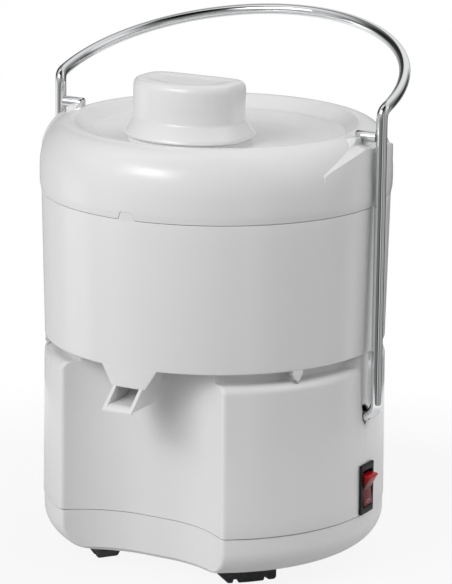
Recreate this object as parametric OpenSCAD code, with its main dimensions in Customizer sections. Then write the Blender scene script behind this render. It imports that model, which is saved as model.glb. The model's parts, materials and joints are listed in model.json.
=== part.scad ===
// Centrifugal juicer with a swinging carrying bail.
// Origin: on the drum axis, at the height of the table. +Z is up, the spout points to -Y,
// and the bail pivots about a line along X.

/* [Body] */
// Radius of the round body at the seam between the lid and the bowl
body_r = 110; // [108:1:114]
// Height of the seam between the lid and the bowl
seam_z = 236; // [232:1:242]
// Height of the seam between the motor housing and the bottom cover
cover_seam_z = 38.6; // [36:0.2:42]
// Height of the cover's flat underside, which the feet stand clear of the table
cover_z = 11.6; // [9:0.2:14]
// Thickness of the moulded walls
wall = 2.5; // [2:0.1:3]

/* [Glass recess] */
// Distance from the axis to the middle of the recess wall
recess_y = 74.3; // [72:0.1:78]
// Radius of the two round sides of the recess
recess_r = 75; // [70:1:80]
// Half the width of the flat middle of the recess
recess_flat = 9; // [6:1:12]

/* [Spout] */
// Outside width of the spout at its top
spout_w = 20.6; // [18:0.2:24]
// How far the lower lip of the spout reaches from the axis
spout_reach = 121; // [118:1:124]
// Thickness of the spout's walls
spout_wall = 2.3; // [1.8:0.1:2.8]

/* [Lid and pusher] */
// Height of the lid's highest ring above the seam
crest_h = 43.4; // [42:0.2:46]
// Half the width of the pusher's grip
pusher_a = 35; // [32:0.5:37]
// Distance from the axis to the widest line of the pusher
pusher_y = 38.9; // [37:0.1:41]
// Travel of the pusher up to where its stem leaves the chute
pusher_travel = 84; // [60:1:86]

/* [Drum] */
// Outside radius of the straining drum
drum_r = 88; // [84:1:92]
// Height of the drum's floor
drum_z = 177; // [175:1:180]
// Number of upright slots in the drum's wall
drum_slots = 36; // [24:4:48]
// Radius of the grater disc
disc_r = 64; // [58:1:68]

/* [Motor] */
// Radius of the motor's shaft
shaft_r = 4; // [3.5:0.5:5]
// Radius of the armature's laminated core
core_r = 22.4; // [21:0.2:22.6]
// Height of the underside of the laminated stack
stack_z = 60; // [58:1:62]
// Height of the laminated stack
stack_h = 36; // [34:1:38]

/* [Bail] */
// Radius of the bail's rod
rod_r = 3.5; // [3:0.1:3.6]
// Distance from the axis to the middle of each leg
leg_x = 115.3; // [115:0.1:116]
// Height of the pivot line
pivot_z = 102.35; // [101:0.05:104]
// Lean of the bow behind the legs, from upright
bow_lean = 72; // [66:1:74]

/* [Hidden] */
$fn = 96;

gap = 0.3;              // free gap between neighbouring pieces
running = 0.04;         // radial clearance of a running fit
over = 1;               // how far a cutter runs past the face it cuts

// Motor housing
base_r_low = body_r - 0.5;
base_r_top = body_r - 1.5;
ledge_z = 135;          // ledge that runs round under the bowl
ledge_round = 5;
neck_r = 98;
deck_z = 146.5;         // deck that the bowl sits on
boss_r = 29;
boss_z = 152;
slot_w = 8.4;           // slot that each bent end of the bail enters
slot_z = [96, 109.5];

// Bottom cover
cover_r = body_r - 1;
cover_round_r = 18.9;
cover_round_h = 18;
screw_r = 76;           // circle of the cover's screws
screw_angles = [20, 100, 260, 340];

// Feet
foot_r = [69.3, 80.3];
foot_span = 27.5;

// Bowl
bowl_low_z = 142.8;
bowl_low_r = body_r - 1.8;
bowl_floor_z = deck_z + 0.2;
collar_r = 32;
collar_z = 166;

// Lid
rim_x = 111.1;          // outside radius of the lid's wall
crest_r = 91.3;
crest_in_r = 88.5;
dish_r = 80.9;
dish_z = seam_z + 35.75;
lid_power = 2.15;       // fullness of the lid's shoulder
shoulder_z = 250;
chute_low_z = 189;
chute_out = -2.2;       // outline of the chute's outside, set in from the pusher's

// Pusher
pusher_back = 21.7;
pusher_front = 24.2;
brim_z = dish_z + 3.65;
crease_z = 286;
pusher_top_z = 310.9;
brim_flare = 6.9;
stem_inset = 5;

// Drum and drive
rim_z = 248;
hub_z = 154;

// Switch, on the +X side
switch_z = [39, 71.6];
switch_w = 18.8;
switch_x = 109.9;
rocker_tilt = 11;

// Bail
bend_r = 8.5;
pin_z = seam_z + 43.7;
pin_in_x = 98.5;
kink_z = seam_z + 61;
bow_mid = 5.5;
bow_a = 116.6;
bow_b = 111.8;
cam_r = pin_z - pivot_z - rod_r - gap;

// A point of a superellipse, for the pusher's outline
function squircle(t, a, b, p) = [a * sign(cos(t)) * pow(abs(cos(t)), 2 / p),
                                 b * sign(sin(t)) * pow(abs(sin(t)), 2 / p)];

// Outline of the pusher: round at the front, nearly straight at the back
function pusher_outline(grow) = [
  for (i = [0:63])
    let (t = i * 360 / 64)
    let (p = sin(t) > 0 ? squircle(t, pusher_a + grow, pusher_back + grow, 5)
                        : squircle(t, pusher_a + grow, pusher_front + grow, 2))
    [p[0], p[1] - pusher_y]];

module ring(r_in, r_out, z0, z1) {
  translate([0, 0, z0]) difference() {
    cylinder(r = r_out, h = z1 - z0);
    translate([0, 0, -over]) cylinder(r = r_in, h = z1 - z0 + 2 * over);
  }
}

// A slab between two heights
module slab(x0, x1, y0, y1, z0, z1) {
  translate([x0, y0, z0]) cube([x1 - x0, y1 - y0, z1 - z0]);
}

module rod_x(r, x0, x1, y, z) {
  translate([x0, y, z]) rotate([0, 90, 0]) cylinder(r = r, h = x1 - x0);
}

// The hollow at the front for the glass. grow moves its wall towards the axis.
module glass_recess(grow = 0, z0 = 0, z1 = 200) {
  recess_mid = -recess_y - recess_r;
  for (s = [-1, 1])
    translate([s * recess_flat, recess_mid, z0]) cylinder(r = recess_r + grow, h = z1 - z0);
  slab(-recess_flat, recess_flat, recess_mid, -recess_y + grow, z0, z1);
}

module cover_screw_places() {
  for (a = screw_angles)
    rotate([0, 0, a]) translate([0, screw_r, 0]) children();
}

module motor_corners() {
  for (a = [45:90:315])
    rotate([0, 0, a]) translate([47, 0, 0]) children();
}

module base_solid(inset = 0) {
  rotate_extrude() union() {
    polygon([[0, cover_seam_z - over * sign(inset)], [base_r_low - inset, cover_seam_z - over * sign(inset)],
      [base_r_top - inset, ledge_z - ledge_round], [base_r_top - inset - ledge_round, ledge_z - inset],
      [neck_r - inset, ledge_z - inset], [neck_r - inset, deck_z - inset], [0, deck_z - inset]]);
    if (inset == 0)
      translate([base_r_top - ledge_round, ledge_z - ledge_round]) circle(r = ledge_round);
  }
}

// Ribs that hold the bush of one end of the bail
module bush_cradle(s) {
  for (y = [-11.2, 9.2])
    slab(min(s * 89, s * 107), max(s * 89, s * 107), y, y + 2, 91, 113);
}

module base_housing() color("white") {
  for (s = [-1, 1])
    bush_cradle(s);
  difference() {
    union() {
      base_solid();
      translate([0, 0, deck_z - wall]) cylinder(r = boss_r, h = boss_z - deck_z + wall);
      // Posts behind the legs of the bail
      for (s = [-1, 1])
        slab(min(s * 94, s * 106.8), max(s * 94, s * 106.8), -9, 9, ledge_z - 5, bowl_low_z - gap);
    }
    glass_recess();
    difference() {
      base_solid(wall);
      glass_recess(wall);
      // Hangers for the motor, and columns for the cover's screws
      motor_corners() translate([0, 0, 131]) cylinder(r = 6, h = 20);
      cover_screw_places() translate([0, 0, cover_z + 12.3]) cylinder(r = 4.5, h = 130);
    }
    translate([0, 0, deck_z - wall - over]) cylinder(r = boss_r - wall, h = boss_z - deck_z + over);
    cylinder(r = 11, h = 200);
    // Slots for the bent ends of the bail
    for (s = [-1, 1])
      slab(min(s * 100, s * 112), max(s * 100, s * 112), -slot_w / 2, slot_w / 2, slot_z[0], slot_z[1]);
    // Notches for the locating lugs of the bowl
    for (s = [-1, 1])
      rotate([0, 0, s * 57.5]) slab(-4.2, 4.2, -112, -96, 133.4, 150);
    // Opening for the switch
    slab(100, 112, -7.6, 7.6, switch_z[0] + 3, switch_z[1] - 3);
    // Hole for the mains inlet
    translate([0, 100, 58]) rotate([-90, 0, 0]) cylinder(r = 7.5, h = 20);
    motor_corners() translate([0, 0, 120]) cylinder(r = 1.9, h = 20);
    cover_screw_places() cylinder(r = 1.95, h = 38);
  }
}

module bottom_cover() color("white") {
  outline = concat([[0, cover_z], [cover_r - cover_round_r, cover_z]],
    [for (i = [1:12])
      let (t = 90 * i / 12)
      [cover_r - cover_round_r * (1 - sin(t)), cover_z + cover_round_h * (1 - cos(t))]],
    [[cover_r, cover_seam_z - gap], [0, cover_seam_z - gap]]);
  inner = concat([[0, cover_z + wall], [cover_r - cover_round_r - 1, cover_z + wall]],
    [for (i = [1:8])
      let (t = 90 * i / 8)
      [cover_r - wall - (cover_round_r - 1.5) * (1 - sin(t)),
       cover_z + wall + (cover_round_h - 1) * (1 - cos(t))]],
    [[cover_r - wall, cover_seam_z + over], [0, cover_seam_z + over]]);
  difference() {
    union() {
      rotate_extrude() polygon(outline);
      ring(cover_r - 6, cover_r - wall - 0.6, cover_seam_z - 6, cover_seam_z + 3);
    }
    glass_recess(0, 0, cover_seam_z);
    glass_recess(wall + 0.6, cover_seam_z - gap, 100);
    difference() {
      rotate_extrude() polygon(inner);
      glass_recess(wall);
      ring(cover_r - 6, cover_r - wall, cover_seam_z - 6, cover_seam_z + 6);
      cover_screw_places() translate([0, 0, cover_z]) cylinder(r = 5, h = 12);
    }
    // Air slots under the motor
    for (i = [-5:5])
      slab(i * 7 - 1.6, i * 7 + 1.6, -22 + abs(i) * 2, 22 - abs(i) * 2,
        cover_z - over, cover_z + wall + over);
    cover_screw_places() {
      cylinder(r = 2.1, h = 60);
      cylinder(r = 4.2, h = cover_z + 6);
    }
  }
}

// One rubber foot, with a sloping end and two notches across its sole
module foot(a, s) {
  rotate([0, 0, s * a]) difference() {
    rotate([0, 0, -90 - foot_span / 2]) rotate_extrude(angle = foot_span)
      polygon([[foot_r[0], 1.2], [foot_r[0] + 1.2, 0], [foot_r[1] - 1.2, 0], [foot_r[1], 1.2],
               [foot_r[1], cover_z], [foot_r[0], cover_z]]);
    rotate([0, 0, -s * foot_span / 2]) translate([0, -73, 0]) rotate([0, 45, 0])
      cube([9, 30, 9], center = true);
    for (t = [-5.4, 9])
      rotate([0, 0, s * t]) translate([0, -73, 0]) cube([2.8, 30, 4.6], center = true);
  }
}

module feet() color("#222426") {
  for (s = [-1, 1])
    for (a = [45, 135])
      foot(a, s);
}

module cover_screws() color("silver") {
  cover_screw_places() difference() {
    union() {
      translate([0, 0, cover_z + 3.2]) cylinder(r = 3.6, h = 2.8);
      translate([0, 0, cover_z + 6]) cylinder(r = 1.9, h = 16);
    }
    translate([0, 0, cover_z + 3.2]) cube([5, 1, 2], center = true);
    translate([0, 0, cover_z + 3.2]) cube([1, 5, 2], center = true);
  }
}

// Side view of the spout's trough, in Y and Z
trough_z = 118.9;
spout_lip = 1.2;
spout_top_y = -108.3;
spout_low_y = -spout_reach;
trough_side = [[-84, 148], [-84, 135], [-85.1, 127.6], [-89.9, 121.8], [-95.9, 119.4],
               [spout_low_y + 1.3, trough_z], [spout_low_y + 1.3, trough_z - spout_lip],
               [spout_low_y, trough_z - spout_lip], [spout_top_y, 130.6], [spout_top_y + 1, 148]];
trough_hollow = [[-86.5, 152], [-86.5, 136], [-88, 129], [-92, 124], [-97, 121.9],
                 [spout_low_y - 3, 121.3], [spout_low_y - 3, 128.2], [spout_top_y, 128.4],
                 [spout_top_y + 3, 131], [spout_top_y + 3, 152]];

module along_x(w) {
  translate([-w / 2, 0, 0]) rotate([90, 0, 90]) linear_extrude(w) children();
}

module juice_bowl() color("white") {
  difference() {
    union() {
      // Wall with its skirt, floor and middle collar
      rotate_extrude() polygon([[bowl_low_r - wall, bowl_low_z], [bowl_low_r, bowl_low_z],
        [body_r, seam_z - gap], [body_r - wall, seam_z - gap],
        [bowl_low_r - wall, bowl_floor_z + wall + 3], [bowl_low_r - wall - 4, bowl_floor_z + wall],
        [collar_r + wall + 2, bowl_floor_z + wall], [collar_r + wall, bowl_floor_z + wall + 2],
        [collar_r + wall, collar_z], [collar_r, collar_z], [collar_r, bowl_floor_z],
        [bowl_low_r - wall, bowl_floor_z]]);
      // Skirt over the spout
      intersection() {
        ring(bowl_low_r - wall + 0.1, bowl_low_r - 0.1, 130.6, 144);
        rotate([90, 0, 0]) linear_extrude(120)
          polygon([[-19.4, 144], [-19.2, 142.8], [-11.6, 130.6], [11.6, 130.6], [19.2, 142.8], [19.4, 144]]);
      }
      along_x(spout_w) polygon(trough_side);
      // Locating lugs
      for (s = [-1, 1])
        rotate([0, 0, s * 57.5]) intersection() {
          ring(bowl_low_r - 8, bowl_low_r - 0.1, 136, 148);
          union() {
            slab(-3.6, 3.6, -112, -90, 139.2, 148);
            translate([0, -90, 139.4]) rotate([90, 0, 0]) cylinder(r = 3.2, h = 20);
          }
        }
      // Tab that keys the lid
      intersection() {
        ring(body_r - wall + 0.1, body_r - 0.1, seam_z - 3, seam_z + 5);
        rotate([90, 0, 0]) linear_extrude(120)
          polygon([[-5.8, seam_z - 3], [-5.8, seam_z - gap], [-3.6, seam_z + 4.7], [3.6, seam_z + 4.7],
                   [5.8, seam_z - gap], [5.8, seam_z - 3]]);
      }
    }
    along_x(spout_w - 2 * spout_wall) polygon(trough_hollow);
  }
}

// Height of the lid's outside at a given fraction of the shoulder's turn
function shoulder(t, inset) = [
  crest_r + (rim_x - crest_r - inset) * pow(cos(t), 2 / lid_power),
  shoulder_z + (seam_z + crest_h - shoulder_z - inset) * pow(sin(t), 2 / lid_power)];

module lid_blank() {
  steps = 14;
  spigot_out = body_r - wall - gap;
  spigot_in = spigot_out - 2;
  outside = concat([[body_r + 0.3, seam_z], [rim_x, seam_z + 5.9]],
    [for (i = [0:steps]) shoulder(90 * i / steps, 0)],
    [[crest_in_r, dish_z + 7], [dish_r, dish_z], [0, dish_z]]);
  inside = concat([[0, dish_z - wall], [dish_r - 0.8, dish_z - wall], [crest_in_r - 1.4, dish_z + 4.4]],
    [for (i = [steps:-1:0]) shoulder(90 * i / steps, wall)],
    [[rim_x - wall, seam_z + 5.9], [rim_x - wall, seam_z + 3], [spigot_in, seam_z + 3],
     [spigot_in, seam_z - 8], [spigot_out, seam_z - 8], [spigot_out, seam_z]]);
  rotate_extrude() polygon(concat(outside, inside));
}

// A raised cam on each side: the latch pin rests on it and slides over it as the bail swings
module lid_cam(s) {
  intersection() {
    ring(96.2, rim_x - 0.3, 250, 282);
    translate([s > 0 ? 94 : -112, 0, 0]) rotate([90, 0, 90]) linear_extrude(18)
      polygon([[-47, 258], [-44, 262], [-13, 276.6], [-11, 279.8], [-4.1, 279.8], [-4.1, 276],
               [48, 276], [48, 258]]);
    union() {
      slab(-112, 112, -60, -4.1, 250, 284);
      rod_x(cam_r, -112, 112, 0, pivot_z);
    }
    union() {
      ring(99.5, 112, 250, 284);
      slab(-112, 112, -60, 60, 250, 277);
    }
  }
}

module lid() color("white") {
  difference() {
    union() {
      lid_blank();
      for (s = [-1, 1])
        lid_cam(s);
      // Collar round the mouth of the chute
      translate([0, 0, dish_z - wall]) linear_extrude(brim_z - dish_z + wall - gap)
        polygon(pusher_outline(4));
      // Ring that shrouds the drum's rim
      ring(95, 97, 240, seam_z + 40.5);
    }
    translate([0, 0, dish_z - 20]) linear_extrude(60) polygon(pusher_outline(chute_out + 0.1));
    // Room for the latch pins as they swing away
    for (s = [-1, 1])
      difference() {
        slab(min(s * 97.5, s * 113), max(s * 97.5, s * 113), -4.1, 60, 262, 290);
        rod_x(cam_r, -114, 114, 0, pivot_z);
      }
    // Notch for the bowl's tab
    rotate([90, 0, 0]) linear_extrude(120)
      polygon([[-6.2, seam_z - over], [-3.9, seam_z + 5], [3.9, seam_z + 5], [6.2, seam_z - over]]);
  }
}

// Oval tube that hangs in the lid's mouth by a flange on the lid's underside
module feed_chute() color("white") {
  difference() {
    union() {
      translate([0, 0, chute_low_z]) linear_extrude(brim_z - 2 * gap - chute_low_z)
        polygon(pusher_outline(chute_out));
      translate([0, 0, dish_z - wall - 2.3]) linear_extrude(2.2) polygon(pusher_outline(2.5));
    }
    translate([0, 0, chute_low_z - over]) linear_extrude(120) polygon(pusher_outline(-4.6));
  }
}

module food_pusher() color("white") {
  thin = 0.1;
  difference() {
    union() {
      translate([0, 0, crease_z]) linear_extrude(pusher_top_z - 4 - crease_z) polygon(pusher_outline(0));
      hull() {
        translate([0, 0, pusher_top_z - 4]) linear_extrude(thin) polygon(pusher_outline(0));
        translate([0, 0, pusher_top_z - 1.2]) linear_extrude(thin) polygon(pusher_outline(-1.4));
        translate([0, 0, pusher_top_z - thin]) linear_extrude(thin) polygon(pusher_outline(-4.6));
      }
      hull() {
        translate([0, 0, brim_z]) linear_extrude(0.8) polygon(pusher_outline(brim_flare));
        translate([0, 0, crease_z - thin]) linear_extrude(thin) polygon(pusher_outline(0));
      }
      translate([0, 0, chute_low_z + 3]) linear_extrude(crease_z - chute_low_z - 3)
        polygon(pusher_outline(-stem_inset));
    }
    translate([0, 0, chute_low_z]) linear_extrude(pusher_top_z - 3.9 - chute_low_z)
      polygon(pusher_outline(-stem_inset - 2.2));
  }
}

module strainer_drum() color("silver") {
  difference() {
    rotate_extrude() polygon([[9, drum_z], [drum_r, drum_z], [drum_r, rim_z], [drum_r - 9, rim_z],
      [drum_r - 9, rim_z - 1.2], [drum_r - 1.2, rim_z - 1.2], [drum_r - 1.2, drum_z + 1.5],
      [9, drum_z + 1.5]]);
    for (i = [0:drum_slots - 1])
      rotate([0, 0, i * 360 / drum_slots]) slab(drum_r - 4, drum_r + 4, -0.6, 0.6, drum_z + 8, rim_z - 8);
  }
}

module grater_disc() color("silver") {
  disc_z = drum_z + 1.5;
  ring(shaft_r + 0.05, disc_r, disc_z, disc_z + 1.5);
  for (r = [24:8:56])
    for (a = [0:360 / (r / 2):359])
      rotate([0, 0, a + r * 3]) translate([r, 0, disc_z + 1.2])
        cylinder(r1 = 1.2, r2 = 0.5, h = 1.6, $fn = 16);
}

module disc_nut() color("white") {
  nut_z = drum_z + 3;
  difference() {
    union() {
      translate([0, 0, nut_z]) cylinder(r = 10, h = 4);
      translate([0, 0, nut_z + 4]) cylinder(r = 8.5, h = 6, $fn = 6);
    }
    translate([0, 0, nut_z - over]) cylinder(r = shaft_r + 0.05, h = 8.5);
  }
}

module drive_hub() color("white") {
  difference() {
    rotate_extrude() polygon([[0, hub_z + 1], [14, hub_z + 1], [20, hub_z + 8],
                              [24, drum_z - 4], [24, drum_z], [0, drum_z]]);
    translate([0, 0, 100]) cylinder(r = shaft_r + 0.05, h = 100);
  }
  ring(shaft_r + 0.05, 9, drum_z, drum_z + 1.5);
}

module motor_shaft() color("silver") {
  translate([0, 0, 28]) cylinder(r = shaft_r, h = drum_z + 10 - 28);
}

module armature_core() color("gray") {
  difference() {
    ring(shaft_r, core_r, stack_z, stack_z + stack_h);
    for (a = [0:30:330])
      rotate([0, 0, a]) slab(13, core_r + 2, -1.4, 1.4, stack_z - over, stack_z + stack_h + over);
  }
}

module armature_windings() color("#a5561f") {
  for (a = [0:30:330])
    rotate([0, 0, a]) slab(13.2, core_r - 1.2, -1.2, 1.2, stack_z - 2, stack_z + stack_h + 2);
  for (z = [stack_z - 7, stack_z + stack_h])
    translate([0, 0, z]) rotate_extrude()
      polygon([[7, 0.4], [18, 0.4], [20.5, 2.5], [20.5, 5], [18, 6.6], [7, 6.6]]);
}

module commutator() color("#b87333") {
  comm_z = stack_z + stack_h + 7;
  difference() {
    ring(shaft_r, 13, comm_z, comm_z + 14);
    for (a = [15:30:345])
      rotate([0, 0, a]) slab(10, 15, -0.35, 0.35, comm_z - over, comm_z + 11);
  }
}

module cooling_fan() color("#303234") {
  ring(shaft_r, 9, 43, 51);
  ring(8, 34, 50, 51.5);
  for (a = [0:30:330])
    rotate([0, 0, a]) slab(8.5, 34, -0.7, 0.7, 43.5, 50.5);
}

module stator_core() color("gray") {
  difference() {
    translate([-40, -40, stack_z]) cube([80, 80, stack_h]);
    translate([0, 0, stack_z - over]) cylinder(r = core_r + 0.6, h = stack_h + 2 * over);
    for (s = [0, 180])
      rotate([0, 0, s - 52]) translate([0, 0, stack_z - over]) rotate_extrude(angle = 104)
        translate([core_r - 2, 0]) square([13.5, stack_h + 2 * over]);
    motor_corners() translate([0, 0, stack_z - over]) cylinder(r = 2.2, h = stack_h + 2 * over);
  }
}

module field_coil(side) {
  color("#a5561f") rotate([0, 0, side - 49]) rotate_extrude(angle = 98)
    translate([core_r + 1.6, stack_z - 6]) square([8.8, stack_h + 12]);
}

module field_coil_left() { field_coil(180); }
module field_coil_right() { field_coil(0); }

module bearing(z) {
  color("silver") {
    ring(shaft_r + running, 5.6, z, z + 7);
    ring(8.8, 11, z, z + 7);
    ring(5.6, 8.8, z + 1, z + 6);
  }
}

module upper_bearing() { bearing(126); }
module lower_bearing() { bearing(31); }

// Bearing plate with a cup, posts and slots for the air
module bearing_plate(z, cup_z0, cup_z1, post_z0, post_z1, bearing_z) {
  color("silver") difference() {
    union() {
      translate([0, 0, z]) cylinder(r = 54, h = 2.5);
      translate([0, 0, cup_z0]) cylinder(r = 13.5, h = cup_z1 - cup_z0);
      motor_corners() translate([0, 0, post_z0]) cylinder(r = 5, h = post_z1 - post_z0);
    }
    translate([0, 0, bearing_z]) cylinder(r = 11.02, h = 7.02);
    translate([0, 0, z - 40]) cylinder(r = 6.5, h = 80);
    motor_corners() translate([0, 0, post_z0 - 30]) cylinder(r = 1.95, h = 120);
    for (a = [0:90:270])
      rotate([0, 0, a]) rotate([0, 0, -28]) translate([0, 0, z - over]) rotate_extrude(angle = 56)
        translate([18, 0]) square([28, 5]);
  }
}

module upper_bracket() { bearing_plate(121.5, 121.5, 133.02, stack_z + stack_h, 123, 126); }
module lower_bracket() { bearing_plate(38, 30.5, 40.5, 39, stack_z, 31); }

module brush_holders() color("#303234") {
  brush_z = stack_z + stack_h + 13;
  for (s = [-1, 1])
    difference() {
      union() {
        slab(-6, 6, min(s * 15.5, s * 40), max(s * 15.5, s * 40), brush_z - 6, brush_z + 6);
        slab(-4, 4, min(s * 47, s * 40), max(s * 47, s * 40), brush_z - 6, brush_z + 6);
        slab(-4, 4, min(s * 47, s * 53), max(s * 47, s * 53), brush_z - 6, 121.5);
      }
      slab(-3.1, 3.1, min(s * 12, s * 36), max(s * 12, s * 36), brush_z - 4.1, brush_z + 4.1);
    }
}

module carbon_brushes() color("#1c1c1e") {
  brush_z = stack_z + stack_h + 13;
  for (s = [-1, 1])
    slab(-3, 3, min(s * 13.2, s * 31), max(s * 13.2, s * 31), brush_z - 4, brush_z + 4);
}

module motor_mounts() color("#222426") {
  motor_corners() difference() {
    translate([0, 0, 124]) cylinder(r = 6, h = 7);
    translate([0, 0, 123]) cylinder(r = 2, h = 9);
  }
}

module motor_screws() color("silver") {
  motor_corners() {
    translate([0, 0, 34.5]) cylinder(r = 3.6, h = 3.5);
    translate([0, 0, 38]) cylinder(r = 1.85, h = 98);
  }
}

module shaft_seal() color("#222426") {
  difference() {
    union() {
      translate([0, 0, boss_z - wall]) cylinder(r = 10.9, h = wall);
      translate([0, 0, boss_z]) cylinder(r = 13, h = 1.4);
    }
    translate([0, 0, boss_z - 5]) cylinder(r = shaft_r + running, h = 10);
  }
}

// Bezel and body of the switch; the rocker turns on the pin between its cheeks
switch_mid = (switch_z[0] + switch_z[1]) / 2;
pin_x = switch_x - 2.6;

module switch_bezel() color("#26282b") {
  difference() {
    union() {
      slab(switch_x - 0.4, switch_x + 1.4, -switch_w / 2, switch_w / 2, switch_z[0], switch_z[1]);
      slab(switch_x - 18, switch_x - 0.3, -7.3, 7.3, switch_z[0] + 3.3, switch_z[1] - 3.3);
    }
    slab(switch_x - 10.5, switch_x + 3, -6.1, 6.1, switch_z[0] + 4.4, switch_z[1] - 4.4);
  }
  translate([pin_x, -6.6, switch_mid]) rotate([-90, 0, 0]) cylinder(r = 1.2, h = 13.2);
}

module switch_rocker() color("#b3131b") {
  translate([pin_x, 0, switch_mid]) rotate([0, rocker_tilt, 0]) difference() {
    translate([0, -5.7, 0]) rotate([90, 0, 0]) mirror([0, 0, 1]) linear_extrude(11.4)
      polygon([[-2.6, -3], [-2.6, 3], [-0.5, 9.6], [4.9, 10.6], [6.3, 9.9], [3.4, 0], [6.3, -9.9],
               [4.9, -10.6], [-0.5, -9.6]]);
    rotate([90, 0, 0]) cylinder(r = 1.2 + running, h = 40, center = true);
  }
}

module terminal_block() color("#d8d2bf") {
  difference() {
    slab(-17, 17, 74, 88, cover_z + wall, cover_z + wall + 13);
    for (x = [-11.3, 0, 11.3])
      translate([x, 81, cover_z + wall + 6]) cylinder(r = 2.2, h = 10);
  }
}

module suppressor_capacitor() color("#c9a227") {
  slab(40, 50, 30, 56, cover_z + wall, cover_z + wall + 17);
}

module cord_inlet() color("#222426") {
  translate([0, 0, 58]) rotate([-90, 0, 0]) difference() {
    union() {
      translate([0, 0, 98]) cylinder(r = 10, h = 7);
      translate([0, 0, 104]) cylinder(r = 7.4, h = 8);
      translate([0, 0, 109.6]) cylinder(r1 = 9.5, r2 = 9, h = 2);
      translate([0, 0, 111.5]) cylinder(r1 = 6.6, r2 = 5.4, h = 6.5);
    }
    translate([0, 0, 90]) cylinder(r = 3.3, h = 40);
  }
}

// A tube swept along a route, as one closed mesh
module lead(route, r) {
  sides = 8;
  count = len(route);
  function unit(v) = v / norm(v);
  function along(i) = unit(route[min(i + 1, count - 1)] - route[max(i - 1, 0)]);
  function across(i) = unit(cross(along(i), abs(along(i)[2]) > 0.9 ? [1, 0, 0] : [0, 0, 1]));
  points = [for (i = [0:count - 1]) for (k = [0:sides - 1])
    let (t = 360 * k / sides)
    route[i] + r * (cos(t) * across(i) + sin(t) * cross(along(i), across(i)))];
  faces = concat(
    [for (i = [0:count - 2]) for (k = [0:sides - 1])
      [i * sides + k, i * sides + (k + 1) % sides, (i + 1) * sides + (k + 1) % sides, (i + 1) * sides + k]],
    [[for (k = [sides - 1:-1:0]) k], [for (k = [0:sides - 1]) (count - 1) * sides + k]]);
  polyhedron(points, faces, convexity = 6);
}

// Two leads from the terminal block to the inlet, and one to the switch
module internal_leads() {
  for (s = [-1, 1])
    color("#3a5fa8") lead([[s * 11.3, 88.3, 20], [s * 11.3, 90.6, 20.4], [s * 10.5, 93, 25],
      [s * 8, 94, 34], [s * 4.5, 93.5, 46], [s * 2.2, 93.5, 53], [s * 1.9, 95, 56.4],
      [s * 1.8, 97.4, 57]], 1.1);
  color("#7a4a2a") lead([[17.3, 82, 20], [26, 83, 20], [38, 79, 20], [54, 66, 20], [68, 48, 21],
    [78, 26, 27], [84, 8, 38], [86, 1, 50], [88.5, 0, 54], [91.3, 0, 55]], 1.1);
}

// Bent rod: leg, lower bend and inward end, for one side
module leg(s) {
  translate([s * leg_x, 0, pivot_z + bend_r]) cylinder(r = rod_r, h = kink_z - pivot_z - bend_r);
  translate([s * (leg_x - bend_r), 0, pivot_z + bend_r]) rotate([-90, 0, 0])
    rotate([0, 0, s > 0 ? 0 : 90]) rotate_extrude(angle = 90) translate([bend_r, 0]) circle(r = rod_r);
  rod_x(rod_r, s > 0 ? 88 : -(leg_x - bend_r), s > 0 ? leg_x - bend_r : -88, 0, pivot_z);
}

// The bow: half an oval in a plane that leans back from the tops of the legs
bow_rings = 40;
bow_sides = 14;
bow_start = -asin(bow_mid / bow_b);
function bow_flat(t) = [bow_a * cos(t), bow_mid + bow_b * sin(t)];
function bow_place(p, d) = [p[0], p[1] * sin(bow_lean) + d * cos(bow_lean),
                            kink_z + p[1] * cos(bow_lean) - d * sin(bow_lean)];
function bow_normal(t) = let (n = [cos(t) / bow_a, sin(t) / bow_b]) n / norm(n);
bow_points = [for (i = [0:bow_rings])
  let (t = bow_start + (180 - 2 * bow_start) * i / bow_rings)
  for (k = [0:bow_sides - 1])
    let (u = 360 * k / bow_sides)
    bow_place(bow_flat(t) + rod_r * cos(u) * bow_normal(t), rod_r * sin(u))];
bow_faces = concat(
  [for (i = [0:bow_rings - 1]) for (k = [0:bow_sides - 1])
    [i * bow_sides + k, (i + 1) * bow_sides + k, (i + 1) * bow_sides + (k + 1) % bow_sides,
     i * bow_sides + (k + 1) % bow_sides]],
  [[for (k = [0:bow_sides - 1]) k], [for (k = [bow_sides - 1:-1:0]) bow_rings * bow_sides + k]]);

module handle_bail() color("silver") {
  for (s = [-1, 1]) {
    leg(s);
    translate([s * leg_x, 0, kink_z]) sphere(r = rod_r);
  }
  polyhedron(bow_points, bow_faces, convexity = 6);
}

// The pins are welded to the inner sides of the legs
module latch_pins() color("silver") {
  weld_x = leg_x - rod_r + 0.4;
  for (s = [-1, 1])
    rod_x(rod_r, s > 0 ? pin_in_x : -weld_x, s > 0 ? weld_x : -pin_in_x, 0, pin_z);
}

module pivot_bush(s) {
  color("#2c2e31") difference() {
    union() {
      slab(min(s * 90, s * 101), max(s * 90, s * 101), -9, 9, pivot_z - 9, pivot_z + 9);
      slab(min(s * 100, s * 105), max(s * 100, s * 105), -8, 8, pivot_z - 8, pivot_z + 8);
    }
    rod_x(rod_r + running, -120, 120, 0, pivot_z);
  }
}

module pivot_bush_left() { pivot_bush(-1); }
module pivot_bush_right() { pivot_bush(1); }

module pivot_clips() color("#4a4d52") {
  for (s = [-1, 1])
    translate([s * 89.2, 0, pivot_z]) rotate([0, 90, 0]) difference() {
      cylinder(r = 6, h = 1, center = true);
      cylinder(r = rod_r, h = 3, center = true);
      translate([0, 6, 0]) cube([3.4, 8, 3], center = true);
    }
}

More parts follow.
